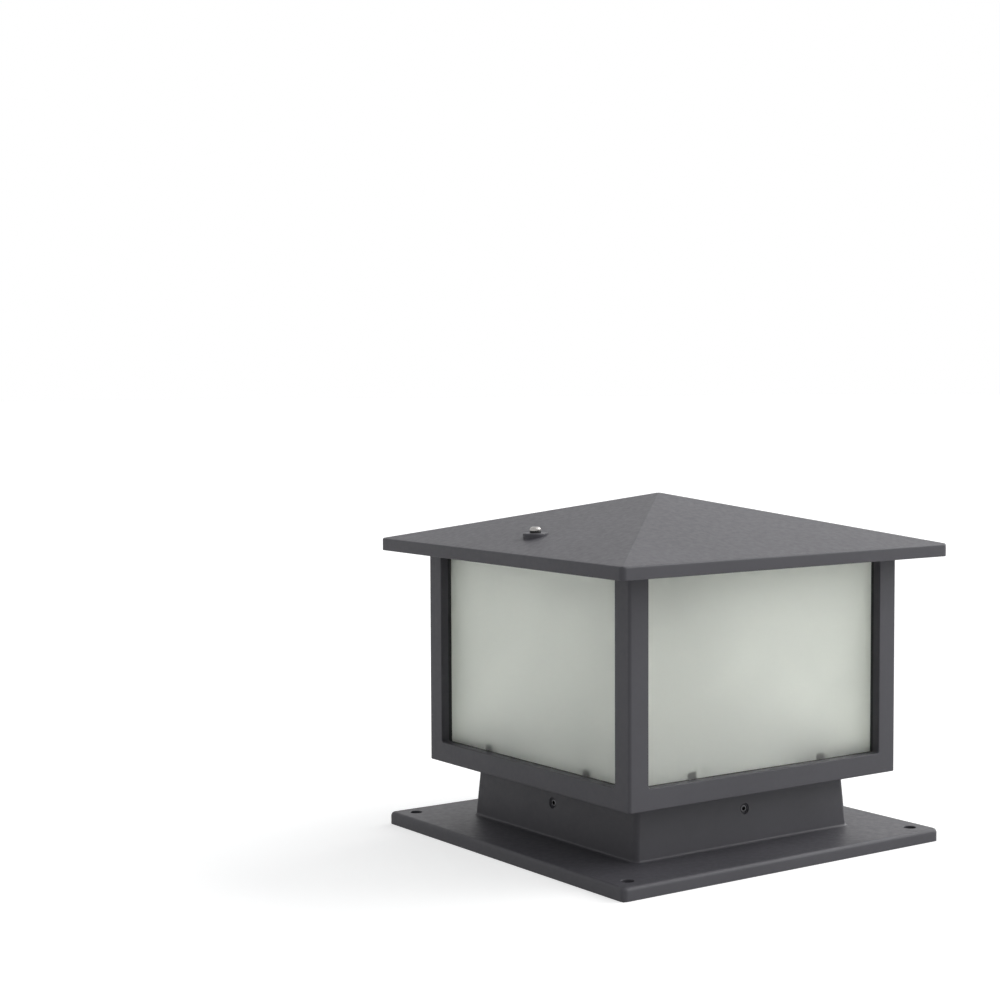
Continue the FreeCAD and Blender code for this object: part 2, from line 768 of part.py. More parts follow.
    above = box(
        "above_ceiling", f"-{reach}", f"-{reach}", ceiling, f"2 * {reach}", f"2 * {reach}", reach
    )
    lug_foot = f"({FRAME_TOP} - Dim.roof_lug_drop)"
    hole_size = "Dim.roof_screw_size + 2 * Dim.thread_play"
    lugs = []
    holes = []
    for side, sign in (("left", "-"), ("right", "")):
        place = f"{sign}{ROOF_SCREW}"
        lugs.append(
            rod(f"roof_lug_{side}", place, "0", lug_foot, "Dim.roof_lug", "Dim.roof_lug_drop")
        )
        holes.append(
            rod(f"roof_hole_{side}", place, "0", lug_foot, hole_size, "Dim.roof_lug_drop")
        )
    ring = fused("top_ring_solid", common("ring_piece", body, above), *lugs)
    keep(cut("top_ring_drilled", ring, *holes), "top_ring")


def panes():
    height = f"({PANE_TOP} - {PANE_FOOT})"
    width = f"(2 * {PANE_HALF})"
    glass = box(
        "pane", f"-{PANE_HALF}", f"-{PANE_FACE}", PANE_FOOT, width, "Dim.pane_thick", height
    )
    outer = box(
        "seal_outer", f"-{PANE_HALF}", f"-{SEAL_FACE}", PANE_FOOT, width, "Dim.seal_thick", height
    )
    inner = box(
        "seal_inner", f"-{OPENING_HALF}", f"-{SEAL_FACE}", SILL,
        f"2 * {OPENING_HALF}", "Dim.seal_thick", f"{HEAD} - {SILL}",
    )
    seal = cut("seal", outer, inner)
    for side, pane in zip(SIDES, on_each_side("pane_copy", glass)):
        keep(pane, f"glass_{side}")
    for side, strip in zip(SIDES, on_each_side("seal_copy", seal)):
        keep(strip, f"pane_seal_{side}")


def pane_clips():
    """Bent strips whose tongues press on the back of the panes, with their screws."""
    body = new_body("clip_body")
    middle = "(Dim.clip_spacing / 2)"
    back = f"-{PANE_BACK}"
    foot_top = f"({PANE_FOOT} + Dim.clip_thick)"
    strip = outline(
        sketch_on(body, "clip_profile", "YZ_Plane", middle),
        [
            (back, PANE_FOOT), (f"{back} + Dim.clip_reach", PANE_FOOT),
            (f"{back} + Dim.clip_reach", foot_top), (f"{back} + Dim.clip_thick", foot_top),
            (f"{back} + Dim.clip_thick", f"{PANE_FOOT} + Dim.clip_rise"),
            (back, f"{PANE_FOOT} + Dim.clip_rise"),
        ],
    )
    pad(body, "clip_strip", strip, "Dim.clip_width", midplane=True)
    hole = circle(
        sketch_on(body, "clip_hole_outline", "XY_Plane", foot_top),
        middle, f"-{CLIP_SCREW}", "Dim.clip_screw_size + 2 * Dim.screw_play",
    )
    pocket(body, "clip_hole", hole, "2 * Dim.clip_thick")
    master = pan_screw("clip_screw", "Dim.clip_screw_size", "Dim.clip_screw_length")
    screw = copy_at("clip_screw_placed", master, middle, f"-{CLIP_SCREW}", foot_top)
    for source, label in ((body, "pane_clips"), (screw, "pane_clip_screws")):
        pair = mirrored(f"{label}_pair", source, (1, 0, 0))
        window = mirrored(f"{label}_window", pair, (0, 0, 1), WINDOW_MID)
        keep(group(f"{label}_all", on_each_side(label, window)), label)


# ---- roof: four formed panels, mitred and welded along the hips ----


def roof_panels():
    """The whole shell, cut at the hips into the panels that it is made from."""
    body = new_body("roof_body")
    skirt = square(sketch_on(body, "skirt_outline", "XY_Plane", EAVE), ROOF_HALF)
    pad(body, "skirt", skirt, "Dim.skirt_height")
    slope_foot = square(sketch_on(body, "slope_foot", "XY_Plane", SKIRT_TOP), ROOF_HALF)
    tip = square(sketch_on(body, "roof_tip", "XY_Plane", APEX), "(Dim.roof_tip / 2)")
    loft(body, "PartDesign::AdditiveLoft", "slopes", slope_foot, tip)
    skirt_low = size_of(EAVE)
    skirt_high = size_of(SKIRT_TOP)
    round_edges(
        body, "roof_corners", "Dim.roof_corner",
        lambda edge: upright(edge) and skirt_low < edge.CenterOfMass.z < skirt_high,
    )

    inner_half = f"({ROOF_HALF} - Dim.roof_wall)"
    inner_skirt_top = f"({ROOF_UNDER_APEX} - {ROOF_SLOPE} * {inner_half})"
    hollow = square(sketch_on(body, "hollow_outline", "XY_Plane", EAVE), inner_half)
    pocket(body, "skirt_hollow", hollow, f"{inner_skirt_top} - {EAVE}", reverse=True)
    under_foot = square(sketch_on(body, "under_foot", "XY_Plane", inner_skirt_top), inner_half)
    under_tip_height = f"{ROOF_UNDER_APEX} - {ROOF_SLOPE} * Dim.roof_tip"
    under_tip = square(
        sketch_on(body, "under_tip", "XY_Plane", under_tip_height), "Dim.roof_tip"
    )
    loft(body, "PartDesign::SubtractiveLoft", "slope_hollow", under_foot, under_tip)

    rib_foot = f"({FRAME_TOP} + Dim.gasket_thick)"
    rib_inner = f"({GASKET_INNER} + (Dim.gasket_width - Dim.press_rib) / 2)"
    rib_outer = f"({rib_inner} + Dim.press_rib)"
    rib_top = f"({ROOF_UNDER_APEX} - {ROOF_SLOPE} * {rib_inner} + Dim.roof_wall / 3)"
    rib = sketch_on(body, "press_rib_outline", "XY_Plane", rib_foot)
    square(rib, rib_outer)
    square(rib, rib_inner)
    pad(body, "press_rib", rib, f"{rib_top} - {rib_foot}")

    pillar_foot = f"({FRAME_TOP} + Dim.roof_pillar_gap)"
    boss_foot = f"({APEX} - {ROOF_SLOPE} * ({ROOF_SCREW} + Dim.roof_boss / 2) - Dim.roof_wall / 2)"
    pillar = sketch_on(body, "pillar_outline", "XY_Plane", pillar_foot)
    boss = sketch_on(body, "boss_outline", "XY_Plane", boss_foot)
    hole = sketch_on(body, "roof_screw_outline", "XY_Plane", BOSS_TOP)
    for sign in ("", "-"):
        circle(pillar, f"{sign}{ROOF_SCREW}", "0", "Dim.roof_pillar")
        circle(boss, f"{sign}{ROOF_SCREW}", "0", "Dim.roof_boss")
        circle(hole, f"{sign}{ROOF_SCREW}", "0", "Dim.roof_screw_size + 2 * Dim.screw_play")
    pad(body, "pillars", pillar, f"{boss_foot} - {pillar_foot} + Dim.roof_wall / 2")
    pad(body, "bosses", boss, f"{BOSS_TOP} - {boss_foot}")
    pocket(body, "roof_screw_holes", hole, f"{BOSS_TOP} - {pillar_foot} + Dim.overrun")
    tools = side_wedges(
        "roof_wedge", f"({ROOF_HALF} + Dim.overrun)", f"({EAVE} - Dim.overrun)",
        f"{APEX} - {EAVE} + 2 * Dim.overrun",
    )
    for side, tool in zip(SIDES, tools):
        keep(common(f"roof_quarter_{side}", body, tool), f"roof_panel_{side}")


def roof_fixings():
    ring = turned(
        "washer",
        [
            ("Dim.roof_screw_size / 2 + Dim.thread_play", "0"),
            ("Dim.washer_size / 2", "0"),
            ("Dim.washer_size / 2", "Dim.washer_thick"),
            ("Dim.roof_screw_size / 2 + Dim.thread_play", "Dim.washer_thick"),
        ],
    )
    screw = pan_screw("roof_screw", "Dim.roof_screw_size", "Dim.roof_screw_length")
    washers = []
    for side, sign in (("left", "-"), ("right", "")):
        place = f"{sign}{ROOF_SCREW}"
        washers.append(copy_at(f"washer_{side}", ring, place, "0", BOSS_TOP))
        head = f"{BOSS_TOP} + Dim.washer_thick"
        keep(copy_at(f"roof_screw_copy_{side}", screw, place, "0", head), f"roof_screw_{side}")
    keep(group("washer_pair", washers), "roof_screw_washers")

    frame = box(
        "gasket_outer", f"-{GASKET_OUTER}", f"-{GASKET_OUTER}", FRAME_TOP,
        f"2 * {GASKET_OUTER}", f"2 * {GASKET_OUTER}", "Dim.gasket_thick",
    )
    hole = box(
        "gasket_inner", f"-{GASKET_INNER}", f"-{GASKET_INNER}", FRAME_TOP,
        f"2 * {GASKET_INNER}", f"2 * {GASKET_INNER}", "Dim.gasket_thick",
    )
    keep(cut("gasket", frame, hole), "roof_gasket")


# ---- gear inside the lantern ----


def gear_tray():
    body = new_body("tray_body")
    plate = square(sketch_on(body, "tray_outline", "XY_Plane", TRAY_SEAT), TRAY_HALF)
    pad(body, "tray_plate", plate, "Dim.tray_thick")
    holes = sketch_on(body, "tray_holes_outline", "XY_Plane", TRAY_TOP)
    for across in ("", "-"):
        for along in ("", "-"):
            circle(
                holes, f"{across}{TRAY_SCREW}", f"{along}{TRAY_SCREW}",
                "Dim.tray_screw_size + 2 * Dim.screw_play",
            )
        foot_hole = "Dim.bracket_screw_size + 2 * Dim.thread_play"
        circle(holes, f"{across}{BRACKET_SCREW}", "0", foot_hole)
        fixing = f"{across}Dim.pole_pitch / 2"
        circle(holes, "Dim.block_place", fixing, "Dim.block_screw_size + 2 * Dim.thread_play")
    circle(holes, "-Dim.gland_place", "0", "Dim.gland_thread + 2 * Dim.screw_play")
    circle(
        holes, "Dim.block_place", "Dim.earth_place", "Dim.earth_screw_size + 2 * Dim.thread_play"
    )
    pocket(body, "tray_holes", holes, "Dim.tray_thick + Dim.overrun")
    keep(body, "gear_tray")

    screw = pan_screw("tray_screw", "Dim.tray_screw_size", "Dim.tray_screw_length")
    corner = copy_at("tray_screw_corner", screw, TRAY_SCREW, TRAY_SCREW, TRAY_TOP)
    keep(group("tray_screw_set", on_each_side("tray_screw_at", corner)), "tray_screws")


def holder_bracket():
    """A strip bent to a hat section, which lifts the lamp holder off the tray."""
    body = new_body("bracket_body")
    leg = "(Dim.bracket_span / 2)"
    inner_leg = f"({leg} - Dim.bracket_thick)"
    toe = f"({leg} + Dim.bracket_foot)"
    under = f"({BRACKET_TOP} - Dim.bracket_thick)"
    foot_top = f"({TRAY_TOP} + Dim.bracket_thick)"
    half = [
        (inner_leg, under), (inner_leg, TRAY_TOP), (toe, TRAY_TOP),
        (toe, foot_top), (leg, foot_top), (leg, BRACKET_TOP),
    ]
    other = [(f"-{x}", y) for x, y in reversed(half)]
    profile = outline(sketch_on(body, "bracket_profile", "XZ_Plane"), half + other)
    pad(body, "bracket_strip", profile, "Dim.bracket_width", midplane=True)
    holes = sketch_on(body, "bracket_holes_outline", "XY_Plane", BRACKET_TOP)
    feet = sketch_on(body, "bracket_feet_outline", "XY_Plane", foot_top)
    for sign in ("", "-"):
        circle(
            holes, "0", f"{sign}Dim.holder_screw_spacing / 2",
            "Dim.holder_screw_size + 2 * Dim.thread_play",
        )
        circle(
            feet, f"{sign}{BRACKET_SCREW}", "0",
            "Dim.bracket_screw_size + 2 * Dim.screw_play",
        )
    pocket(body, "bracket_holes", holes, "2 * Dim.bracket_thick")
    pocket(body, "bracket_feet_holes", feet, "2 * Dim.bracket_thick")
    keep(body, "holder_bracket")

    screw = pan_screw("bracket_screw", "Dim.bracket_screw_size", "Dim.bracket_screw_length")
    pair = [
        copy_at("bracket_screw_a", screw, BRACKET_SCREW, "0", foot_top),
        copy_at("bracket_screw_b", screw, f"-{BRACKET_SCREW}", "0", foot_top),
    ]
    keep(group("bracket_screw_pair", pair), "bracket_screws")


def lamp_holder():
    shell_outer = f"({SHELL_BORE} + Dim.shell_wall)"
    bore = f"({shell_outer} + Dim.thread_play)"
    rim = "(Dim.holder_size / 2)"
    foot = "(Dim.holder_foot_size / 2)"
    foot_top = f"({BRACKET_TOP} + Dim.holder_foot_height)"
    body = turned(
        "holder_body",
        [
            ("0", BRACKET_TOP), (foot, BRACKET_TOP), (foot, foot_top),
            (rim, f"{foot_top} + Dim.holder_foot_slope"), (rim, HOLDER_TOP), (bore, HOLDER_TOP),
            (bore, HOLDER_FLOOR), ("0", HOLDER_FLOOR),
        ],
    )
    holes = sketch_on(body, "holder_holes_outline", "XY_Plane", HOLDER_FLOOR)
    for sign in ("", "-"):
        circle(
            holes, "0", f"{sign}Dim.holder_screw_spacing / 2",
            "Dim.holder_screw_size + 2 * Dim.screw_play",
        )
    pocket(body, "holder_holes", holes, "Dim.holder_floor + Dim.overrun")
    entries = sketch_on(body, "lead_entry_outline", "YZ_Plane", foot)
    for sign in ("", "-"):
        circle(
            entries, f"{sign}Dim.pole_pitch / 2", LEAD_ENTRY, "Dim.lead_size + 2 * Dim.screw_play"
        )
    pocket(body, "lead_entries", entries, f"{foot} - {rim} + 2 * Dim.lead_size")
    keep(body, "lamp_holder")

    shell_top = f"({HOLDER_TOP} - Dim.shell_setback)"
    shell_foot = f"({shell_top} - Dim.shell_height)"
    shell = turned(
        "shell_body",
        [
            (SHELL_BORE, shell_foot), (shell_outer, shell_foot),
            (shell_outer, shell_top), (SHELL_BORE, shell_top),
        ],
    )
    keep(shell, "holder_shell")

    contact = new_body("contact_body")
    tail_top = f"({HOLDER_FLOOR} + Dim.contact_thick)"
    strip = outline(
        sketch_on(contact, "contact_profile", "XZ_Plane"),
        [
            ("-Dim.contact_reach", HOLDER_FLOOR), ("Dim.contact_tail", HOLDER_FLOOR),
            ("Dim.contact_tail", tail_top), ("2 * Dim.contact_thick - Dim.contact_reach", tail_top),
            ("-Dim.contact_rise", f"{CONTACT_TOP} - Dim.contact_thick"),
            ("Dim.contact_lip", f"{CONTACT_TOP} - Dim.contact_thick"),
            ("Dim.contact_lip", CONTACT_TOP),
            ("-Dim.contact_rise - Dim.contact_thick / 2", CONTACT_TOP),
        ],
    )
    pad(contact, "contact_strip", strip, "Dim.contact_width", midplane=True)
    keep(contact, "holder_contact")

    screw = pan_screw("holder_screw", "Dim.holder_screw_size", "Dim.holder_screw_length")
    place = "Dim.holder_screw_spacing / 2"
    pair = [
        copy_at("holder_screw_a", screw, "0", place, HOLDER_FLOOR),
        copy_at("holder_screw_b", screw, "0", f"-{place}", HOLDER_FLOOR),
    ]
    keep(group("holder_screw_pair", pair), "holder_screws")


def lamp():
    """A screw-in lamp: tip contact, insulator, threaded cap, housing and diffuser."""
    cap_radius = "(Dim.cap_size / 2)"
    bore = f"({cap_radius} - Dim.cap_wall)"
    cap_mouth = f"({bore} - Dim.cap_shoulder)"
    shoulder = f"({CAP_FOOT} + Dim.cap_shoulder)"
    cap = turned(
        "cap_body",
        [
            (cap_mouth, CAP_FOOT), (f"{cap_radius} - Dim.cap_shoulder", CAP_FOOT),
            (cap_radius, shoulder), (cap_radius, HOUSING_FOOT),
            (bore, HOUSING_FOOT), (bore, shoulder),
        ],
    )
    keep(cap, "bulb_cap")
    insulator = turned(
        "insulator_body",
        [
            ("0", INSULATOR_FOOT), ("Dim.tip_size / 2 + Dim.insulator_lip", INSULATOR_FOOT),
            (cap_mouth, CAP_FOOT), ("0", CAP_FOOT),
        ],
    )
    keep(insulator, "bulb_insulator")
    tip = turned(
        "tip_body",
        [
            ("0", TIP_FOOT), ("Dim.tip_crown / 2", TIP_FOOT),
            ("Dim.tip_size / 2", f"{INSULATOR_FOOT} - Dim.tip_rim"),
            ("Dim.tip_size / 2", INSULATOR_FOOT), ("0", INSULATOR_FOOT),
        ],
    )
    keep(tip, "bulb_contact")
    housing_radius = "(Dim.housing_top / 2)"
    foot_top = f"({HOUSING_FOOT} + Dim.housing_foot_height)"
    foot_lap = f"({cap_radius} - Dim.housing_foot_lap)"
    housing = turned(
        "housing_body",
        [
            (foot_lap, HOUSING_FOOT), (f"{cap_radius} + Dim.housing_wall", HOUSING_FOOT),
            (f"{cap_radius} + Dim.housing_wall", foot_top),
            (housing_radius, HOUSING_TOP), (f"{housing_radius} - Dim.housing_wall", HOUSING_TOP),
            (cap_radius, foot_top), (foot_lap, foot_top),
        ],
    )
    keep(housing, "bulb_housing")

    ball = "(Dim.bulb_size / 2)"
    tangent_radius = f"({ball} * cos(Dim.bulb_taper))"
    neck_height = f"(({tangent_radius} - {housing_radius}) / tan(Dim.bulb_taper))"
    ball_centre = f"({HOUSING_TOP} + {neck_height} + {ball} * sin(Dim.bulb_taper))"
    dome = bind(doc.addObject("Part::Sphere", "dome"), Radius=ball, Angle1="-Dim.bulb_taper")
    put(dome, z=ball_centre)
    skirt = bind(
        doc.addObject("Part::Cone", "dome_skirt"),
        Radius1=housing_radius, Radius2=tangent_radius, Height=neck_height,
    )
    put(skirt, z=HOUSING_TOP)
    inner_ball = f"({ball} - Dim.bulb_wall)"
    hollow = bind(
        doc.addObject("Part::Sphere", "dome_hollow"), Radius=inner_ball, Angle1="-Dim.bulb_taper"
    )
    put(hollow, z=ball_centre)
    inner_skirt = bind(
        doc.addObject("Part::Cone", "dome_skirt_hollow"),
        Radius1=f"{housing_radius} - Dim.bulb_wall",
        Radius2=f"{inner_ball} * cos(Dim.bulb_taper)",
        Height=f"{neck_height} + Dim.bulb_wall * sin(Dim.bulb_taper)",
    )
    put(inner_skirt, z=HOUSING_TOP)
    glass = cut("diffuser_body", fused("dome_outside", dome, skirt), hollow, inner_skirt)
    keep(glass, "bulb_diffuser")


def terminal_block():
    """Three poles in one moulding, each with a brass sleeve and two clamping screws."""
    pieces = [
        box(
            "block_base", BLOCK_LEFT, f"-{BLOCK_LENGTH} / 2", TRAY_TOP,
            "Dim.block_width", BLOCK_LENGTH, "Dim.block_web",
        )
    ]
    tunnels = []
    sleeves = []
    screws = []
    screw = pan_screw("terminal_screw", "Dim.terminal_screw_size", "Dim.terminal_screw_length")
    sleeve_top = f"({LEAD_HEIGHT} + Dim.sleeve_size / 2)"
    for number in (-1, 0, 1):
        middle = f"({number} * Dim.pole_pitch)"
        pieces.append(
            box(
                f"pole_{number + 2}", BLOCK_LEFT, f"{middle} - Dim.pole_size / 2", TRAY_TOP,
                "Dim.block_width", "Dim.pole_size", "Dim.pole_height",
            )
        )
        outer = "Dim.sleeve_size + 2 * Dim.thread_play"
        tunnels.append(
            level_rod(
                f"tunnel_{number + 2}", BLOCK_LEFT, middle, LEAD_HEIGHT, outer, "Dim.block_width"
            )
        )
        solid = level_rod(
            f"sleeve_bar_{number + 2}", f"{BLOCK_LEFT} + Dim.sleeve_setback", middle, LEAD_HEIGHT,
            "Dim.sleeve_size", "Dim.block_width - 2 * Dim.sleeve_setback",
        )
        bore = level_rod(
            f"sleeve_bore_{number + 2}", BLOCK_LEFT, middle, LEAD_HEIGHT,
            "Dim.sleeve_bore", "Dim.block_width",
        )
        sleeves.append(cut(f"sleeve_{number + 2}", solid, bore))
        for end, along in (("in", "-"), ("out", "+")):
            place = f"(Dim.block_place {along} Dim.block_width / 4)"
            tunnels.append(
                rod(
                    f"shaft_{end}_{number + 2}", place, middle, LEAD_HEIGHT,
                    "Dim.terminal_shaft", "Dim.pole_height",
                )
            )
            screws.append(
                copy_at(
                    f"terminal_screw_{end}_{number + 2}", screw, place, middle,
                    f"{sleeve_top} + Dim.terminal_screw_length",
                )
            )
    fixing = pan_screw("block_screw", "Dim.block_screw_size", "Dim.block_screw_length")
    web_top = f"({TRAY_TOP} + Dim.block_web)"
    fixings = []
    for end, sign in (("a", ""), ("b", "-")):
        place = f"{sign}Dim.pole_pitch / 2"
        tunnels.append(
            rod(
                f"fixing_hole_{end}", "Dim.block_place", place, TRAY_TOP,
                "Dim.block_screw_size + 2 * Dim.thread_play", "Dim.block_web",
            )
        )
        tunnels.append(
            rod(
                f"fixing_well_{end}", "Dim.block_place", place, web_top,
                "Dim.block_screw_size * 2 + 2 * Dim.screw_play", "Dim.pole_height",
            )
        )
        fixings.append(copy_at(f"fixing_{end}", fixing, "Dim.block_place", place, web_top))
    keep(cut("block_cut", fused("block_solid", *pieces), *tunnels), "terminal_block")
    keep(group("sleeve_set", sleeves), "terminal_sleeves")
    keep(group("terminal_screw_set", screws), "terminal_screws")
    keep(group("fixing_set", fixings), "terminal_fixings")


def hexagon_prism(name, across_flats, x, y, z, height):
    made = bind(
        doc.addObject("Part::Prism", name),
        Circumradius=f"{across_flats} / 2 / cos(30)", Height=height,
    )
    made.Polygon = 6
    return put(made, x, y, z)


def cable_gland():
    """The supply enters upwards through the neck, so the dome nut hangs below the tray."""
    x = "-Dim.gland_place"
    hex_foot = f"({TRAY_SEAT} - Dim.gland_hex_height)"
    dome_low = f"({hex_foot} - Dim.dome_height)"
    seal_low = f"({dome_low} + Dim.dome_lip)"
    thread_low = f"({seal_low} + Dim.seal_ring_height)"
    thread_top = f"({TRAY_TOP} + Dim.locknut_height + Dim.gland_thread_show)"
    mouth = "(Dim.cable_size / 2 + Dim.dome_mouth_play)"
    thread_room = "(Dim.gland_thread / 2 + Dim.thread_play)"
    ring_edge = "(Dim.gland_thread / 2 - Dim.seal_ring_play)"
    flange = hexagon_prism(
        "gland_flange", "Dim.gland_hex", x, "0", hex_foot, "Dim.gland_hex_height"
    )
    rise = f"({thread_top} - {thread_low})"
    thread = rod("gland_thread", x, "0", thread_low, "Dim.gland_thread", rise)
    passage = rod("gland_passage", x, "0", thread_low, "Dim.gland_bore", rise)
    keep(cut("gland_solid", fused("gland_blank", flange, thread), passage), "gland_body")

    nut = hexagon_prism("locknut_blank", "Dim.locknut_hex", x, "0", TRAY_TOP, "Dim.locknut_height")
    nut_hole = rod(
        "locknut_hole", x, "0", TRAY_TOP,
        "Dim.gland_thread + 2 * Dim.thread_play", "Dim.locknut_height",
    )
    keep(cut("locknut", nut, nut_hole), "gland_locknut")

    dome = turned(
        "dome_nut",
        [
            (mouth, dome_low), ("Dim.dome_size / 2 - Dim.dome_lip", dome_low),
            ("Dim.dome_size / 2", seal_low), ("Dim.dome_size / 2", hex_foot),
            (thread_room, hex_foot), (thread_room, seal_low), (mouth, seal_low),
        ],
    )
    keep(copy_at("dome_nut_placed", dome, x), "gland_dome")
    ring = turned(
        "gland_ring",
        [
            ("Dim.cable_size / 2", seal_low), (ring_edge, seal_low),
            (ring_edge, thread_low), ("Dim.cable_size / 2", thread_low),
        ],
    )
    keep(copy_at("gland_ring_placed", ring, x), "gland_seal")


# How much of the shorter run beside a corner its bend takes.
BEND_SHARE = 0.45


def tube_along(points, diameter):
    """A wire's solid: straight runs joined by tangent arcs."""
    edges = []
    start = points[0]
    for before, corner, after in zip(points, points[1:], points[2:]):
        back = (before - corner).normalize()
        ahead = (after - corner).normalize()
        cut_back = BEND_SHARE * min(before.distanceToPoint(corner), after.distanceToPoint(corner))
        half_turn = (math.pi - back.getAngle(ahead)) / 2
        radius = cut_back / math.tan(half_turn)
        inward = (back + ahead).normalize()
        middle = corner + inward * (radius / math.cos(half_turn) - radius)
        first = corner + back * cut_back
        last = corner + ahead * cut_back
        edges.append(Part.LineSegment(start, first).toShape())
        edges.append(Part.Arc(first, middle, last).toShape())
        start = last
    edges.append(Part.LineSegment(start, points[-1]).toShape())
    spine = Part.Wire(edges)
    ring = Part.Wire(
        Part.Circle(points[0], points[1] - points[0], diameter / 2).toShape()
    )
    tube = spine.makePipeShell([ring], True, False)
    wanted = spine.Length * math.pi * diameter ** 2 / 4
    if abs(tube.Volume - wanted) > 0.01 * wanted:
        raise RuntimeError("a lead's volume differs from its section times its length")
    return tube


def leads():
    """Leads from the block to the lamp holder, and the earth lead to its tag."""
    block_face = size_of(BLOCK_LEFT)
    far_face = size_of("Dim.block_place + Dim.block_width / 2")
    level = size_of(LEAD_HEIGHT)
    entry = size_of(LEAD_ENTRY)
    rim = size_of("Dim.holder_size / 2")
    pitch = size_of("Dim.pole_pitch")
    lead = size_of("Dim.lead_size")
    for name, pole, hole in (
        ("lead_live", -pitch, -pitch / 2),
        ("lead_neutral", 0, pitch / 2),
    ):
        straight = 0.3 * (block_face - rim)
        points = [
            FreeCAD.Vector(block_face + 2 * lead, pole, level),
            FreeCAD.Vector(block_face - straight, pole, level),
            FreeCAD.Vector(rim + straight, hole, entry),
            FreeCAD.Vector(rim - lead, hole, entry),
        ]
        tube = doc.addObject("Part::Feature", f"{name}_tube")
        tube.Shape = tube_along(points, lead)
        keep(tube, name)

    place = size_of("Dim.earth_place")
    block_x = size_of("Dim.block_place")
    tag_level = size_of(f"{TRAY_TOP} + Dim.tag_thick / 2") + lead / 2
    reach = size_of("Dim.earth_loop")
    points = [
        FreeCAD.Vector(far_face - 2 * lead, pitch, level),
        FreeCAD.Vector(far_face + reach * 0.6, pitch, level),
        FreeCAD.Vector(far_face + reach, pitch + reach * 0.9, level - lead / 2),
        FreeCAD.Vector(block_x + reach * 0.9, place - reach * 0.7, tag_level + lead / 2),
        FreeCAD.Vector(block_x + 2 * lead, place, tag_level),
    ]
    tube = doc.addObject("Part::Feature", "earth_lead_tube")
    tube.Shape = tube_along(points, lead)
    keep(tube, "earth_lead")


def earth_point():
    """A ring tag under a screw that bonds the tray."""
    outer = rod(
        "tag_ring", "Dim.block_place", "Dim.earth_place", TRAY_TOP,
        "Dim.earth_screw_size * 2.2", "Dim.tag_thick",
    )
    inner = rod(
        "tag_hole", "Dim.block_place", "Dim.earth_place", TRAY_TOP,
        "Dim.earth_screw_size + 2 * Dim.screw_play", "Dim.tag_thick",
    )
    keep(cut("tag", outer, inner), "earth_tag")
    screw = pan_screw("bonding_screw", "Dim.earth_screw_size", "2 * Dim.earth_screw_size")
    keep(
        copy_at(
            "earth_screw_placed", screw, "Dim.block_place", "Dim.earth_place",
            f"{TRAY_TOP} + Dim.tag_thick",
        ),
        "earth_screw",
    )


def check():
    """Stops on a failed feature, an empty shape or a cut that removes nothing."""
    for thing in doc.Objects:
        if {"Invalid", "Error"} & set(thing.State):
            raise RuntimeError(f"{thing.Name} failed")
        if thing.TypeId in ("PartDesign::Pocket", "PartDesign::SubtractiveLoft"):
            if thing.Shape.Volume >= thing.BaseFeature.Shape.Volume - NEAR:
                raise RuntimeError(f"{thing.Name} cuts nothing")
    for node in nodes:
        if node.Shape.isNull() or not node.Shape.isValid() or not node.Shape.Solids:
            raise RuntimeError(f"{node.Label} has no sound shape")


base_casting()
neck_screws()
lantern_body()
panes()
pane_clips()
roof_panels()
roof_fixings()
gear_tray()
holder_bracket()
lamp_holder()
lamp()
terminal_block()
cable_gland()
earth_point()
leads()
doc.recompute()
check()

os.makedirs("parts", exist_ok=True)
for node in nodes:
    node.Shape.exportStep(f"parts/{node.Label}.step")
print(f"{len(nodes)} parts written")
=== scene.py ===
"""Deck post cap light: a square cast lantern on a tapered neck and a bolted flange.

Metres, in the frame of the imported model. The front window faces -Y.
"""

import math

import bmesh
import bpy
from mathutils import Euler, Matrix, Vector


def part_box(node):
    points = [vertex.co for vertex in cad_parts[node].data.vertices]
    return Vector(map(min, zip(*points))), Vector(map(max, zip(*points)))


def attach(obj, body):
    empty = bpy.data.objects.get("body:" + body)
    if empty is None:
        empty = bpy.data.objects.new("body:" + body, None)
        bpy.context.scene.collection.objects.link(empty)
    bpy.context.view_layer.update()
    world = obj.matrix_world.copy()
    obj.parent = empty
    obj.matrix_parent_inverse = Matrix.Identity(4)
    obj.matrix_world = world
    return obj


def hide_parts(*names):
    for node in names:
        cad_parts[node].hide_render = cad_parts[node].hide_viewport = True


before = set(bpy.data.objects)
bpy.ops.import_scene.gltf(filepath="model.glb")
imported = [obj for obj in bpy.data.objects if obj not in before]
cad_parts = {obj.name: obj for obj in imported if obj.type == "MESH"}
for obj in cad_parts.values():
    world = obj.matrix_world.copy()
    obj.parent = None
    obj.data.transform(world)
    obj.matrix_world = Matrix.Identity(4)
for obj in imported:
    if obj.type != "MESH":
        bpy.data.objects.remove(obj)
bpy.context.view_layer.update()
MM = 0.001


# ---- the view ----
# The camera stands where the photograph's edges put it: about 1.5 m away, a little
# above the roof, turned towards the lantern's front left corner.

SENSOR_MM = 36
FOCAL_PX = 1999.68
FRAME_PX = 1000
SIDE_SHIFT = -0.08
CAMERA_PLACE = (-0.9282, -1.1580, 0.3386)
YAW, PITCH, ROLL = 36.46, 3.434, -0.114

camera_data = bpy.data.cameras.new("camera")
camera_data.sensor_width = SENSOR_MM
camera_data.lens = SENSOR_MM * FOCAL_PX / FRAME_PX
camera_data.shift_x = SIDE_SHIFT
camera_data.clip_start = 0.05
camera_data.clip_end = 200
camera = bpy.data.objects.new("camera", camera_data)
camera.location = CAMERA_PLACE
level_view = Euler((math.radians(90 - PITCH), 0, math.radians(-YAW))).to_matrix()
camera.rotation_euler = (level_view @ Matrix.Rotation(math.radians(ROLL), 3, "Z")).to_euler()
bpy.context.scene.collection.objects.link(camera)
bpy.context.scene.camera = camera
bpy.context.scene.view_settings.view_transform = "Standard"


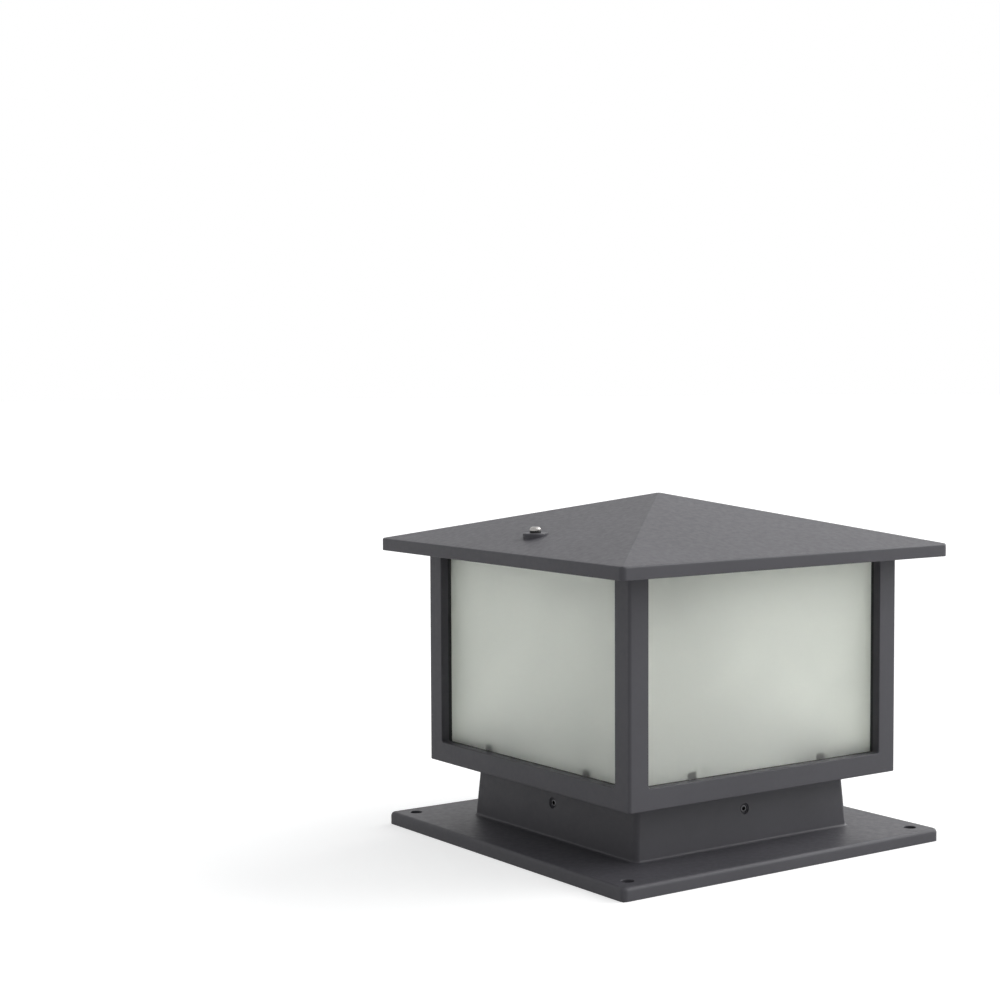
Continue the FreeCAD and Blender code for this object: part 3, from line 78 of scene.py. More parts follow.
# ---- the studio ----
# A pale floor under a plain white surround, and broad soft lamps at the front right,
# the right and the back right. What the camera, gloss and glass see is plain white.

SKY_LEVEL = 0.36
SKY_TINT = (0.97, 0.985, 1, 1)
FLOOR_SIZE = 60
FLOOR_PAINT = 0.6
FLOOR_LIFT = 0.62


def seen_directly(tree):
    """1 for rays that show the surround: the camera's own, in gloss and through glass."""
    path = tree.nodes.new("ShaderNodeLightPath")
    first = tree.nodes.new("ShaderNodeMath")
    first.operation = "MAXIMUM"
    tree.links.new(path.outputs["Is Camera Ray"], first.inputs[0])
    tree.links.new(path.outputs["Is Glossy Ray"], first.inputs[1])
    second = tree.nodes.new("ShaderNodeMath")
    second.operation = "MAXIMUM"
    tree.links.new(first.outputs[0], second.inputs[0])
    tree.links.new(path.outputs["Is Transmission Ray"], second.inputs[1])
    return second.outputs[0]


surround = bpy.data.worlds.new("white_surround")
bpy.context.scene.world = surround
surround.use_nodes = True
sky = surround.node_tree
shown = sky.nodes["Background"]
shown.inputs["Color"].default_value = (1, 1, 1, 1)
shown.inputs["Strength"].default_value = 1
lighting = sky.nodes.new("ShaderNodeBackground")
lighting.inputs["Color"].default_value = SKY_TINT
lighting.inputs["Strength"].default_value = SKY_LEVEL
either = sky.nodes.new("ShaderNodeMixShader")
sky.links.new(seen_directly(sky), either.inputs["Fac"])
sky.links.new(lighting.outputs[0], either.inputs[1])
sky.links.new(shown.outputs[0], either.inputs[2])
sky.links.new(either.outputs[0], sky.nodes["World Output"].inputs["Surface"])

bpy.ops.mesh.primitive_plane_add(size=FLOOR_SIZE, location=(0, 0, 0))
floor = bpy.context.object
floor.name = "floor"
floor_paint = bpy.data.materials.new("pale_floor")
floor_paint.use_nodes = True
paint = floor_paint.node_tree
matt = paint.nodes["Principled BSDF"]
matt.inputs["Base Color"].default_value = (FLOOR_PAINT, FLOOR_PAINT, FLOOR_PAINT, 1)
matt.inputs["Roughness"].default_value = 1
matt.inputs["Specular IOR Level"].default_value = 0
glow = paint.nodes.new("ShaderNodeEmission")
lift = paint.nodes.new("ShaderNodeMath")
lift.operation = "MULTIPLY"
lift.inputs[1].default_value = FLOOR_LIFT
paint.links.new(seen_directly(paint), lift.inputs[0])
paint.links.new(lift.outputs[0], glow.inputs["Strength"])
both = paint.nodes.new("ShaderNodeAddShader")
paint.links.new(matt.outputs[0], both.inputs[0])
paint.links.new(glow.outputs[0], both.inputs[1])
paint.links.new(both.outputs[0], paint.nodes["Material Output"].inputs["Surface"])
floor.data.materials.append(floor_paint)


def soft_lamp(name, strength, spread, towards):
    """A broad distant lamp that shines along a direction."""
    data = bpy.data.lights.new(name, "SUN")
    data.energy = strength
    data.angle = math.radians(spread)
    lamp = bpy.data.objects.new(name, data)
    lamp.rotation_euler = Vector(towards).to_track_quat("-Z", "Y").to_euler()
    bpy.context.scene.collection.objects.link(lamp)


soft_lamp("front_right_lamp", 1.0, 70, (-0.45, 0.55, -0.70))
soft_lamp("right_lamp", 2.8, 60, (-0.9, 0.15, -0.42))
soft_lamp("back_right_lamp", 0.2, 50, (-0.7, -0.45, -0.5))


# ---- base casting ----
# Flange, neck, bolt bosses and ribs, cast in aluminium in one piece and coated with a
# fine-textured anthracite powder. The holes' rims and the foot's edge are eased.

WELD = 2e-6
COAT = (0.065, 0.0635, 0.0725)


def new_material(name):
    material = bpy.data.materials.new(name)
    material.use_nodes = True
    return material, material.node_tree, material.node_tree.nodes["Principled BSDF"]


def noise(tree, scale, detail=2.0, stretch=None):
    """Noise on the object's own coordinates; stretch scales them first."""
    place = tree.nodes.new("ShaderNodeTexCoord").outputs["Object"]
    if stretch:
        mapping = tree.nodes.new("ShaderNodeMapping")
        mapping.inputs["Scale"].default_value = stretch
        tree.links.new(place, mapping.inputs["Vector"])
        place = mapping.outputs["Vector"]
    texture = tree.nodes.new("ShaderNodeTexNoise")
    texture.inputs["Scale"].default_value = scale
    texture.inputs["Detail"].default_value = detail
    tree.links.new(place, texture.inputs["Vector"])
    return texture.outputs["Fac"]


def vary(tree, source, low, high, socket):
    """Lets a socket wander between two numbers with a texture."""
    spread = tree.nodes.new("ShaderNodeMapRange")
    spread.inputs["From Min"].default_value = 0.3
    spread.inputs["From Max"].default_value = 0.7
    spread.inputs["To Min"].default_value = low
    spread.inputs["To Max"].default_value = high
    tree.links.new(source, spread.inputs["Value"])
    tree.links.new(spread.outputs["Result"], socket)


def tint(tree, source, colour, depth, socket):
    """Lets a colour wander a share of itself darker and lighter with a texture."""
    mix = tree.nodes.new("ShaderNodeMix")
    mix.data_type = "RGBA"
    mix.inputs["A"].default_value = [c * (1 - depth) for c in colour] + [1]
    mix.inputs["B"].default_value = [min(1, c * (1 + depth)) for c in colour] + [1]
    vary(tree, source, 0, 1, mix.inputs["Factor"])
    tree.links.new(mix.outputs["Result"], socket)


def relief(tree, shader, *layers):
    """Bumps stacked on each other: pairs of a texture and its height in metres."""
    below = None
    for source, height in layers:
        bump = tree.nodes.new("ShaderNodeBump")
        bump.inputs["Distance"].default_value = height
        tree.links.new(source, bump.inputs["Height"])
        if below:
            tree.links.new(below, bump.inputs["Normal"])
        below = bump.outputs["Normal"]
    tree.links.new(below, shader.inputs["Normal"])


def powder_coat(name):
    material, tree, shader = new_material(name)
    tint(tree, noise(tree, 14, 4), COAT, 0.07, shader.inputs["Base Color"])
    vary(tree, noise(tree, 260, 3), 0.46, 0.56, shader.inputs["Roughness"])
    shader.inputs["Specular IOR Level"].default_value = 0.32
    relief(
        tree, shader,
        (noise(tree, 45, 2), 0.00012),
        (noise(tree, 1100, 3), 0.00005),
        (noise(tree, 2600, 2), 0.00002),
    )
    return material


def select_only(piece):
    """Leaves edit mode and selects one object."""
    if bpy.context.object and bpy.context.object.mode == "EDIT":
        bpy.ops.object.mode_set(mode="OBJECT")
    bpy.ops.object.select_all(action="DESELECT")
    piece.select_set(True)
    bpy.context.view_layer.objects.active = piece


def whole_copy(name, node):
    """A copy of a CAD node with its triangles joined into whole flat faces, in edit mode."""
    piece = bpy.data.objects.new(name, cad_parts[node].data.copy())
    piece.data.materials.clear()
    bpy.context.scene.collection.objects.link(piece)
    select_only(piece)
    bpy.ops.mesh.customdata_custom_splitnormals_clear()
    bpy.ops.object.mode_set(mode="EDIT")
    bpy.ops.mesh.select_mode(type="EDGE")
    bpy.ops.mesh.select_all(action="SELECT")
    bpy.ops.mesh.remove_doubles(threshold=WELD)
    bpy.ops.mesh.dissolve_limited(angle_limit=math.radians(0.4))
    bpy.ops.mesh.select_all(action="DESELECT")
    return piece


def select_edges(piece, wanted):
    """Selects the edges that pass a test of the edge and its middle, in edit mode."""
    mesh = bmesh.from_edit_mesh(piece.data)
    for edge in mesh.edges:
        middle = (edge.verts[0].co + edge.verts[1].co) / 2
        edge.select = bool(wanted(edge, middle))
    mesh.select_flush_mode()
    bmesh.update_edit_mesh(piece.data)


def round_off(piece, radius, wanted, steps=3, bend=15):
    """Rounds the edges that bend by more than an angle and whose middle passes a test."""

    def to_round(edge, middle):
        bent = edge.is_manifold and edge.calc_face_angle() > math.radians(bend)
        return bent and wanted(middle)

    select_edges(piece, to_round)
    bpy.ops.mesh.bevel(
        offset=radius, segments=steps, affect="EDGES", clamp_overlap=False, miter_outer="ARC"
    )
    bpy.ops.mesh.select_all(action="DESELECT")


def finish_piece(piece, body, material, replaced, smooth=30, flatness=50):
    """Smooths the piece, ties it to its body and hides the nodes it replaces."""
    select_only(piece)
    bpy.ops.object.shade_smooth_by_angle(angle=math.radians(smooth))
    flat_faces = piece.modifiers.new("flat_faces", "WEIGHTED_NORMAL")
    flat_faces.keep_sharp = True
    flat_faces.weight = flatness
    bpy.ops.object.modifier_apply(modifier=flat_faces.name)
    piece.data.materials.clear()
    piece.data.materials.append(material)
    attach(piece, body)
    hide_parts(*replaced)


def near(value, target, reach=0.2 * MM):
    return abs(value - target) < reach


def reach_of(place):
    """How far out from the centre line a place is, measured square."""
    return max(abs(place.x), abs(place.y))


FLANGE_TOP = 9.5 * MM
BOLT_PLACE = 131.5 * MM
BOLT_RADIUS = 4.5 * MM
SCREW_LEVEL = 34.5 * MM
RECESS_RADIUS = 3.9 * MM
NECK_FACE = 96.6 * MM

coat = powder_coat("anthracite_coat")
base_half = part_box("base_casting")[1].x
base = whole_copy("cast_base", "base_casting")


def on_bolt_rim(place):
    away = Vector((abs(place.x) - BOLT_PLACE, abs(place.y) - BOLT_PLACE))
    return near(place.z, FLANGE_TOP) and near(away.length, BOLT_RADIUS)


def on_recess_rim(place):
    beside = min(abs(place.x), abs(place.y))
    away = Vector((beside, place.z - SCREW_LEVEL))
    return near(away.length, RECESS_RADIUS) and reach_of(place) > NECK_FACE


round_off(base, 0.5 * MM, on_bolt_rim)
round_off(base, 0.3 * MM, on_recess_rim)
round_off(base, 0.6 * MM, lambda place: near(place.z, 0) and reach_of(place) > base_half - MM)
finish_piece(base, "base", coat, ["base_casting"])


# ---- neck set screws ----
# Four M6 hexagon-socket screws in black steel, one in each face of the neck. Their
# cups stop just short of the lantern's collar until they are tightened.

SIDES = ("front", "right", "back", "left")
SCREW_OUT = 96.68 * MM
SOCKET_HALF = 1.5 * MM
SOCKET_DEPTH = 2.5 * MM
TOOTH_SHARE = 0.75


def start_ring(name, radius, height, sides=48):
    """A ring of edges at a height, in edit mode, from which a turned piece grows."""
    bpy.ops.object.select_all(action="DESELECT")
    bpy.ops.mesh.primitive_circle_add(
        vertices=sides, radius=radius, location=(0, 0, height), enter_editmode=True
    )
    piece = bpy.context.object
    piece.name = name
    bpy.ops.mesh.select_mode(type="EDGE")
    return piece


def next_ring(radius_before, height_before, radius, height):
    """Grows the selected ring to another radius and height."""
    bpy.ops.mesh.extrude_edges_move()
    bpy.ops.transform.translate(value=(0, 0, height - height_before))
    share = radius / radius_before
    bpy.ops.transform.resize(value=(share, share, 1), center_override=(0, 0, height))


def turned_piece(name, profile, sides=48, hollow=False):
    """A piece turned about Z through (radius, height) pairs, left in edit mode.

    A hollow one closes on its first ring; a solid one is capped at both ends.
    """
    piece = start_ring(name, *profile[0], sides)
    for (radius_before, height_before), (radius, height) in zip(profile, profile[1:]):
        next_ring(radius_before, height_before, radius, height)
    if hollow:
        next_ring(*profile[-1], *profile[0])
    bpy.ops.mesh.select_all(action="SELECT")
    bpy.ops.mesh.remove_doubles(threshold=WELD)
    if not hollow:
        bpy.ops.mesh.select_all(action="DESELECT")
        bpy.ops.mesh.select_non_manifold()
        bpy.ops.mesh.edge_face_add()
    settle_place(piece)
    return piece


def settle_place(piece):
    """Puts the piece's origin at the world's, points its faces outwards, stays in edit mode."""
    bpy.ops.object.mode_set(mode="OBJECT")
    bpy.ops.object.transform_apply(location=True, rotation=True, scale=True)
    bpy.ops.object.mode_set(mode="EDIT")
    bpy.ops.mesh.select_all(action="SELECT")
    bpy.ops.mesh.normals_make_consistent(inside=False)
    bpy.ops.mesh.select_all(action="DESELECT")


def thread_ridge(name, radius, depth, pitch, foot, top, steps=24):
    """A triangular thread wound round Z between two heights.

    The tooth starts with equal sides, is stretched to its share of the pitch and wound.
    """
    bpy.ops.object.select_all(action="DESELECT")
    tooth = depth * 2 / 3
    bpy.ops.mesh.primitive_circle_add(
        vertices=3, radius=tooth, fill_type="NGON",
        location=(radius - tooth, 0, foot), rotation=(math.pi / 2, math.pi / 2, 0),
    )
    ridge = bpy.context.object
    ridge.name = name
    bpy.ops.object.transform_apply(location=True, rotation=True, scale=True)
    bpy.ops.object.mode_set(mode="EDIT")
    bpy.ops.mesh.select_all(action="SELECT")
    bpy.ops.transform.resize(value=(1, 1, TOOTH_SHARE * pitch / (tooth * math.sqrt(3))))
    bpy.ops.mesh.delete(type="ONLY_FACE")
    bpy.ops.object.mode_set(mode="OBJECT")
    wound = ridge.modifiers.new("thread", "SCREW")
    wound.axis = "Z"
    wound.angle = 2 * math.pi
    wound.screw_offset = pitch
    wound.iterations = int((top - foot) / pitch)
    wound.steps = steps
    wound.render_steps = steps
    bpy.ops.object.modifier_apply(modifier=wound.name)
    bpy.ops.object.mode_set(mode="EDIT")
    bpy.ops.mesh.select_mode(type="EDGE")
    bpy.ops.mesh.select_all(action="DESELECT")
    bpy.ops.mesh.select_non_manifold()
    bpy.ops.mesh.fill_holes(sides=3)
    bpy.ops.mesh.select_all(action="SELECT")
    bpy.ops.mesh.normals_make_consistent(inside=False)
    bpy.ops.object.mode_set(mode="OBJECT")
    return ridge


def joined(main, *others):
    """One object out of several."""
    select_only(main)
    for other in others:
        other.select_set(True)
    bpy.ops.object.join()
    return main


def cut_away(piece, *tools):
    """Takes tools away from a piece."""
    for tool in tools:
        select_only(piece)
        taken = piece.modifiers.new("cut", "BOOLEAN")
        taken.operation = "DIFFERENCE"
        taken.solver = "EXACT"
        taken.object = tool
        bpy.ops.object.modifier_apply(modifier=taken.name)
        bpy.data.objects.remove(tool)


def placed_copy(master, name, matrix):
    """The same piece again, with a mesh of its own moved to its place."""
    twin = bpy.data.objects.new(name, master.data.copy())
    twin.data.transform(matrix)
    bpy.context.scene.collection.objects.link(twin)
    return twin


def plain_finish(name, colour, depth, roughness, grain, metal=0.0, height=0.00001, stretch=None):
    """A finish whose colour, roughness and surface all wander a little with one grain."""
    material, tree, shader = new_material(name)
    tint(tree, noise(tree, grain / 6, 3, stretch), colour, depth, shader.inputs["Base Color"])
    low, high = roughness
    vary(tree, noise(tree, grain / 2, 3, stretch), low, high, shader.inputs["Roughness"])
    shader.inputs["Metallic"].default_value = metal
    relief(tree, shader, (noise(tree, grain, 3, stretch), height))
    return material, shader


black_steel, _ = plain_finish(
    "black_steel", (0.10, 0.10, 0.105), 0.25, (0.28, 0.42), 1500, metal=1
)
set_screw = turned_piece(
    "set_screw",
    [
        (1.4 * MM, -4.5 * MM), (2.1 * MM, -4.98 * MM), (2.62 * MM, -4.2 * MM),
        (2.62 * MM, -0.42 * MM), (2.5 * MM, -0.12 * MM), (2.3 * MM, 0),
    ],
)
bpy.ops.object.mode_set(mode="OBJECT")
bpy.ops.object.select_all(action="DESELECT")
bpy.ops.mesh.primitive_cylinder_add(
    vertices=6, radius=SOCKET_HALF / math.cos(math.radians(30)), depth=2 * SOCKET_DEPTH,
    rotation=(0, 0, math.radians(30)),
)
cut_away(set_screw, bpy.context.object)
set_screw_thread = thread_ridge(
    "set_screw_thread", radius=2.95 * MM, depth=0.5 * MM, pitch=1 * MM,
    foot=-4.1 * MM, top=-0.6 * MM,
)
joined(set_screw, set_screw_thread)
for number, side in enumerate(SIDES):
    to_side = Matrix.Rotation(math.radians(90 * number), 4, "Z")
    outward = Matrix.Rotation(math.radians(90), 4, "X")
    place = to_side @ Matrix.Translation((0, -SCREW_OUT, SCREW_LEVEL)) @ outward
    screw = placed_copy(set_screw, f"set_screw_{side}", place)
    finish_piece(
        screw, f"neck_screw_{side}", black_steel, [f"neck_screw_{side}"], smooth=40
    )
bpy.data.objects.remove(set_screw)


# ---- lantern body ----
# A cast floor with a collar that drops into the neck, four mitred window frames and a
# top ring, welded together, ground flush and coated as one. The coat fills the seams.

COLLAR_FOOT = 27 * MM
LANTERN_FOOT = 51 * MM
WALL_FACE = 123.5 * MM
WINDOW_HALF = 107.2 * MM
SILL = 66 * MM
HEAD = 209.5 * MM
RING_BORE = 96.5 * MM


def on_opening_edge(place):
    beside = min(abs(place.x), abs(place.y))
    within = beside < WINDOW_HALF + 0.1 * MM and SILL - 0.1 * MM < place.z < HEAD + 0.1 * MM
    return within and near(reach_of(place), WALL_FACE, 0.05 * MM)


def on_ring_rim(place):
    at_rim = near(reach_of(place), RING_BORE) or reach_of(place) > WALL_FACE - MM
    return near(place.z, ring_top) and at_rim


floor_piece = whole_copy("cast_floor", "floor_casting")
round_off(
    floor_piece, 0.8 * MM,
    lambda place: near(place.z, LANTERN_FOOT) and reach_of(place) > WALL_FACE - MM,
)
round_off(floor_piece, 0.5 * MM, lambda place: near(place.z, COLLAR_FOOT))
finish_piece(floor_piece, "lantern", coat, ["floor_casting"])

for side in SIDES:
    window = whole_copy(f"window_{side}", f"window_frame_{side}")
    round_off(window, 0.6 * MM, on_opening_edge)
    finish_piece(window, "lantern", coat, [f"window_frame_{side}"])

ring = whole_copy("welded_top_ring", "top_ring")
ring_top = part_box("top_ring")[1].z
round_off(ring, 0.5 * MM, on_ring_rim)
finish_piece(ring, "lantern", coat, ["top_ring"])


# ---- pane seals ----
# Square cords of black EPDM rubber between each pane and the shoulder of its window,
# cut to length and pressed in.

rubber, _ = plain_finish("black_rubber", (0.014, 0.014, 0.015), 0.3, (0.62, 0.8), 2400)
for side in SIDES:
    seal = whole_copy(f"seal_{side}", f"pane_seal_{side}")
    round_off(seal, 0.5 * MM, lambda place: True)
    finish_piece(seal, "lantern", rubber, [f"pane_seal_{side}"])


# ---- panes ----
# 4 mm greenish white glass, etched satin all over, with ground arrises. It scatters
# the light of the room behind it.

GLASS_TINT = (0.915, 0.935, 0.89)


def etched_glass(name):
    material, tree, shader = new_material(name)
    tint(tree, noise(tree, 28, 4), GLASS_TINT, 0.03, shader.inputs["Base Color"])
    vary(tree, noise(tree, 700, 3), 0.46, 0.54, shader.inputs["Roughness"])
    shader.inputs["Transmission Weight"].default_value = 0.85
    shader.inputs["IOR"].default_value = 1.5
    relief(tree, shader, (noise(tree, 3000, 2), 0.000006))
    return material


glass = etched_glass("etched_white_glass")
for side in SIDES:
    pane = whole_copy(f"pane_{side}", f"glass_{side}")
    round_off(pane, 0.4 * MM, lambda place: True, steps=2)
    finish_piece(pane, "lantern", glass, [f"glass_{side}"])


# ---- pane clips ----
# Bent strips of spring steel, four to a window, whose tongues press on the back of the
# pane. Each is held to a lug of the frame by an M3 pan-head screw.

PANE_BACK = 110.1 * MM
CLIP_LOW = 63 * MM
CLIP_HIGH = 213 * MM
CLIP_ASIDE = 60 * MM
CLIP_SCREW = 103.1 * MM
CLIP_SHEET = 0.8 * MM
HEAD_RISE = 0.7
DOME_ROUND = 0.7
LEAD_IN = 0.12
CORE_SHARE = 0.82
RECESS_TOOL = (1.1, 0.24, 0.9)
RECESS_TAPER = (0.35, 0.6, 1)

bright_spring, _ = plain_finish(
    "spring_steel", (0.80, 0.80, 0.81), 0.05, (0.3, 0.42), 1800, metal=1, stretch=(1, 1, 0.05)
)
clips = whole_copy("spring_clips", "pane_clips")


def on_outer_fold(place):
    return near(reach_of(place), PANE_BACK) and (
        near(place.z, CLIP_LOW) or near(place.z, CLIP_HIGH)
    )


def on_inner_fold(place):
    return near(reach_of(place), PANE_BACK - CLIP_SHEET) and (
        near(place.z, CLIP_LOW + CLIP_SHEET) or near(place.z, CLIP_HIGH - CLIP_SHEET)
    )


round_off(clips, 1.1 * MM, on_outer_fold, steps=4)
round_off(clips, 0.4 * MM, on_inner_fold, steps=3)
finish_piece(clips, "lantern", bright_spring, ["pane_clips"])


def pan_screw(name, size, length, pitch):
    """A pan-head machine screw with a cross recess; its head sits on the height zero.

    All but its length and pitch are shares of its size, the diameter of its thread.
    """
    rise = HEAD_RISE * size
    dome = DOME_ROUND * rise
    core = size / 2 * CORE_SHARE
    profile = [(size / 2 * 0.5, -length), (core, -length + LEAD_IN * size)]
    profile += [(core, 0), (0.94 * size, 0), (size, 0.06 * size)]
    for step in range(9):
        turn = math.radians(90 * step / 8)
        profile.append(
            (size - dome + dome * math.cos(turn), rise - dome + dome * math.sin(turn))
        )
    screw = turned_piece(name, profile)
    bpy.ops.object.mode_set(mode="OBJECT")
    for turn in (0, 90):
        bpy.ops.object.select_all(action="DESELECT")
        bpy.ops.mesh.primitive_cube_add(size=1, enter_editmode=True)
        bpy.ops.transform.resize(value=[share * size for share in RECESS_TOOL])
        bpy.ops.mesh.select_mode(type="FACE")
        bpy.ops.mesh.select_all(action="DESELECT")
        mesh = bmesh.from_edit_mesh(bpy.context.object.data)
        for face in mesh.faces:
            face.select = face.normal.z < -0.5
        bmesh.update_edit_mesh(bpy.context.object.data)
        bpy.ops.transform.resize(value=RECESS_TAPER)
        bpy.ops.object.mode_set(mode="OBJECT")
        recess_tool = bpy.context.object
        recess_tool.data.transform(
            Matrix.Translation((0, 0, rise + 0.05 * size))
            @ Matrix.Rotation(math.radians(turn), 4, "Z")
        )
        cut_away(screw, recess_tool)
    ridge = thread_ridge(
        f"{name}_thread", radius=0.495 * size, depth=0.61 * pitch, pitch=pitch,
        foot=-length + 0.6 * pitch, top=-0.4 * pitch,
    )
    return joined(screw, ridge)


stainless, _ = plain_finish(
    "stainless_steel", (0.33, 0.32, 0.31), 0.08, (0.24, 0.36), 2600, metal=1
)
clip_screw = pan_screw("clip_screw", 3 * MM, 6 * MM, 0.5 * MM)
clip_rows = (("low", CLIP_LOW + CLIP_SHEET, 0), ("high", CLIP_HIGH - CLIP_SHEET, 180))
for number, side in enumerate(SIDES):
    to_side = Matrix.Rotation(math.radians(90 * number), 4, "Z")
    for row, height, flip in clip_rows:
        for column, aside in (("a", -CLIP_ASIDE), ("b", CLIP_ASIDE)):
            place = to_side @ Matrix.Translation((aside, -CLIP_SCREW, height))
            place = place @ Matrix.Rotation(math.radians(flip), 4, "X")
            place = place @ Matrix.Rotation(math.radians(37 * number + 20), 4, "Z")
            screw = placed_copy(clip_screw, f"clip_screw_{side}_{row}_{column}", place)
            finish_piece(screw, "lantern", stainless, ["pane_clip_screws"], smooth=40)
bpy.data.objects.remove(clip_screw)


# ---- gear tray ----
# A zinc-plated steel plate on the collar's four corner lugs, punched for the gland, the
# bracket, the terminal block and the earth screw. Four M4 screws hold it.

zinc, _ = plain_finish("zinc_plate", (0.60, 0.61, 0.63), 0.10, (0.30, 0.48), 500, metal=1)
TRAY_TOP = 52 * MM
tray = whole_copy("punched_tray", "gear_tray")
tray_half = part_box("gear_tray")[1].x
round_off(tray, 0.25 * MM, lambda place: reach_of(place) > tray_half - 0.1 * MM, steps=2)
finish_piece(tray, "lantern", zinc, ["gear_tray"])

TRAY_SCREW = 81.4 * MM
tray_screw = pan_screw("tray_screw", 4 * MM, 8 * MM, 0.7 * MM)
for number, (across, along) in enumerate(((1, 1), (-1, 1), (-1, -1), (1, -1))):
    place = Matrix.Translation((across * TRAY_SCREW, along * TRAY_SCREW, TRAY_TOP))
    place = place @ Matrix.Rotation(math.radians(31 * number), 4, "Z")
    screw = placed_copy(tray_screw, f"tray_screw_{number + 1}", place)
    finish_piece(screw, "lantern", stainless, ["tray_screws"], smooth=40)
bpy.data.objects.remove(tray_screw)


# ---- lamp holder and its bracket ----
# A porcelain E27 holder with a nickel-plated shell and a brass centre contact, screwed
# to a zinc-plated strip that is bent to a hat section and screwed to the tray.

BRACKET_LEG = 22 * MM
BRACKET_SHEET = 1.5 * MM
BRACKET_TOP = 62 * MM
BRACKET_SCREW = 29 * MM

bracket = whole_copy("bent_bracket", "holder_bracket")


def on_outer_bend(place):
    high = near(abs(place.x), BRACKET_LEG) and near(place.z, BRACKET_TOP)
    low = near(abs(place.x), BRACKET_LEG - BRACKET_SHEET) and near(place.z, TRAY_TOP)
    return high or low


def on_inner_bend(place):
    high = near(abs(place.x), BRACKET_LEG - BRACKET_SHEET)
    high = high and near(place.z, BRACKET_TOP - BRACKET_SHEET)
    low = near(abs(place.x), BRACKET_LEG) and near(place.z, TRAY_TOP + BRACKET_SHEET)
    return high or low


round_off(bracket, 2 * MM, on_outer_bend, steps=5)
round_off(bracket, 0.5 * MM, on_inner_bend, steps=3)
finish_piece(bracket, "lantern", zinc, ["holder_bracket"])

small_screw = pan_screw("small_screw", 3 * MM, 6 * MM, 0.5 * MM)
for side, sign in (("left", -1), ("right", 1)):
    place = Matrix.Translation((sign * BRACKET_SCREW, 0, TRAY_TOP + BRACKET_SHEET))
    place = place @ Matrix.Rotation(math.radians(25 * sign), 4, "Z")
    screw = placed_copy(small_screw, f"bracket_screw_{side}", place)
    finish_piece(screw, "lantern", stainless, ["bracket_screws"], smooth=40)
bpy.data.objects.remove(small_screw)

HOLDER_FOOT_TOP = 68 * MM
HOLDER_SHOULDER = 70 * MM
HOLDER_FLOOR = 74 * MM
HOLDER_RADIUS = 20 * MM
HOLDER_SCREW = 9 * MM


def on_holder_rim(place):
    return near(place.z, holder_top) and place.xy.length > HOLDER_RADIUS - 2 * MM


def on_holder_foot(place):
    levels = (BRACKET_TOP, HOLDER_FOOT_TOP, HOLDER_SHOULDER)
    outside = place.xy.length > HOLDER_RADIUS - MM
    return outside and any(near(place.z, level) for level in levels)


porcelain, glaze = plain_finish("white_porcelain", (0.80, 0.785, 0.74), 0.03, (0.10, 0.2), 300)
glaze.inputs["Coat Weight"].default_value = 0.5
holder = whole_copy("porcelain_holder", "lamp_holder")
holder_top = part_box("lamp_holder")[1].z
round_off(holder, 1.2 * MM, on_holder_rim, steps=4, bend=30)
round_off(holder, 0.6 * MM, on_holder_foot, bend=20)
finish_piece(holder, "lantern", porcelain, ["lamp_holder"])

holder_screw = pan_screw("holder_screw", 3 * MM, 17 * MM, 0.5 * MM)
for side, sign in (("front", -1), ("back", 1)):
    place = Matrix.Translation((0, sign * HOLDER_SCREW, HOLDER_FLOOR))
    screw = placed_copy(holder_screw, f"holder_screw_{side}", place)
    finish_piece(screw, "lantern", stainless, ["holder_screws"], smooth=40)
bpy.data.objects.remove(holder_screw)

nickel, _ = plain_finish("nickel_plate", (0.68, 0.65, 0.60), 0.05, (0.15, 0.28), 1200, metal=1)
brass, _ = plain_finish("plain_brass", (0.70, 0.50, 0.21), 0.08, (0.22, 0.36), 1200, metal=1)


def coat_node(node, material):
    """A CAD solid that stays, with a finish of its own."""
    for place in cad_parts[node].material_slots:
        place.material = material


coat_node("holder_shell", nickel)
coat_node("holder_contact", brass)


# ---- lamp ----
# An E27 lamp: a rolled nickel-plated cap with its round thread, a black glass insulator
# and brass tip, a white plastic housing and an opal plastic diffuser glued on.

CAP_FOOT = 83.3 * MM
CAP_TOP = 103.3 * MM
CAP_CREST = 13.15 * MM
CAP_ROOT = 12.35 * MM
CLEAR_OF_CAP = 14 * MM

cap = turned_piece(
    "threaded_cap",
    [
        (10.7 * MM, CAP_FOOT), (11.2 * MM, CAP_FOOT), (CAP_ROOT, CAP_FOOT + 1.4 * MM),
        (CAP_ROOT, CAP_TOP - 3 * MM), (12.9 * MM, CAP_TOP - 2.2 * MM), (12.9 * MM, CAP_TOP),
        (12.2 * MM, CAP_TOP), (12.0 * MM, CAP_FOOT + 2 * MM),
    ],
    hollow=True,
)
bpy.ops.object.mode_set(mode="OBJECT")
cap_thread = thread_ridge(
    "cap_thread", CAP_CREST, 1.2 * MM, 3.629 * MM, CAP_FOOT + 3 * MM, CAP_TOP - 2.4 * MM, steps=40
)
bpy.ops.object.mode_set(mode="EDIT")
bpy.ops.mesh.select_mode(type="EDGE")


def on_crest(edge, middle):
    return middle.xy.length > CAP_CREST - 0.1 * MM and edge.calc_face_angle(0) > 0.6


select_edges(cap_thread, on_crest)
bpy.ops.mesh.bevel(offset=0.9 * MM, segments=3, affect="EDGES", clamp_overlap=True)
joined(cap, cap_thread)
finish_piece(cap, "bulb", nickel, ["bulb_cap"], smooth=50)

black_glass, _ = plain_finish("black_glass", (0.012, 0.012, 0.014), 0.2, (0.06, 0.14), 400)
coat_node("bulb_insulator", black_glass)
coat_node("bulb_contact", brass)

white_plastic, _ = plain_finish("white_plastic", (0.76, 0.76, 0.74), 0.02, (0.30, 0.38), 2000)
housing = whole_copy("lamp_housing", "bulb_housing")
round_off(housing, 0.5 * MM, lambda place: place.xy.length > CLEAR_OF_CAP, bend=25)
finish_piece(housing, "bulb", white_plastic, ["bulb_housing"])

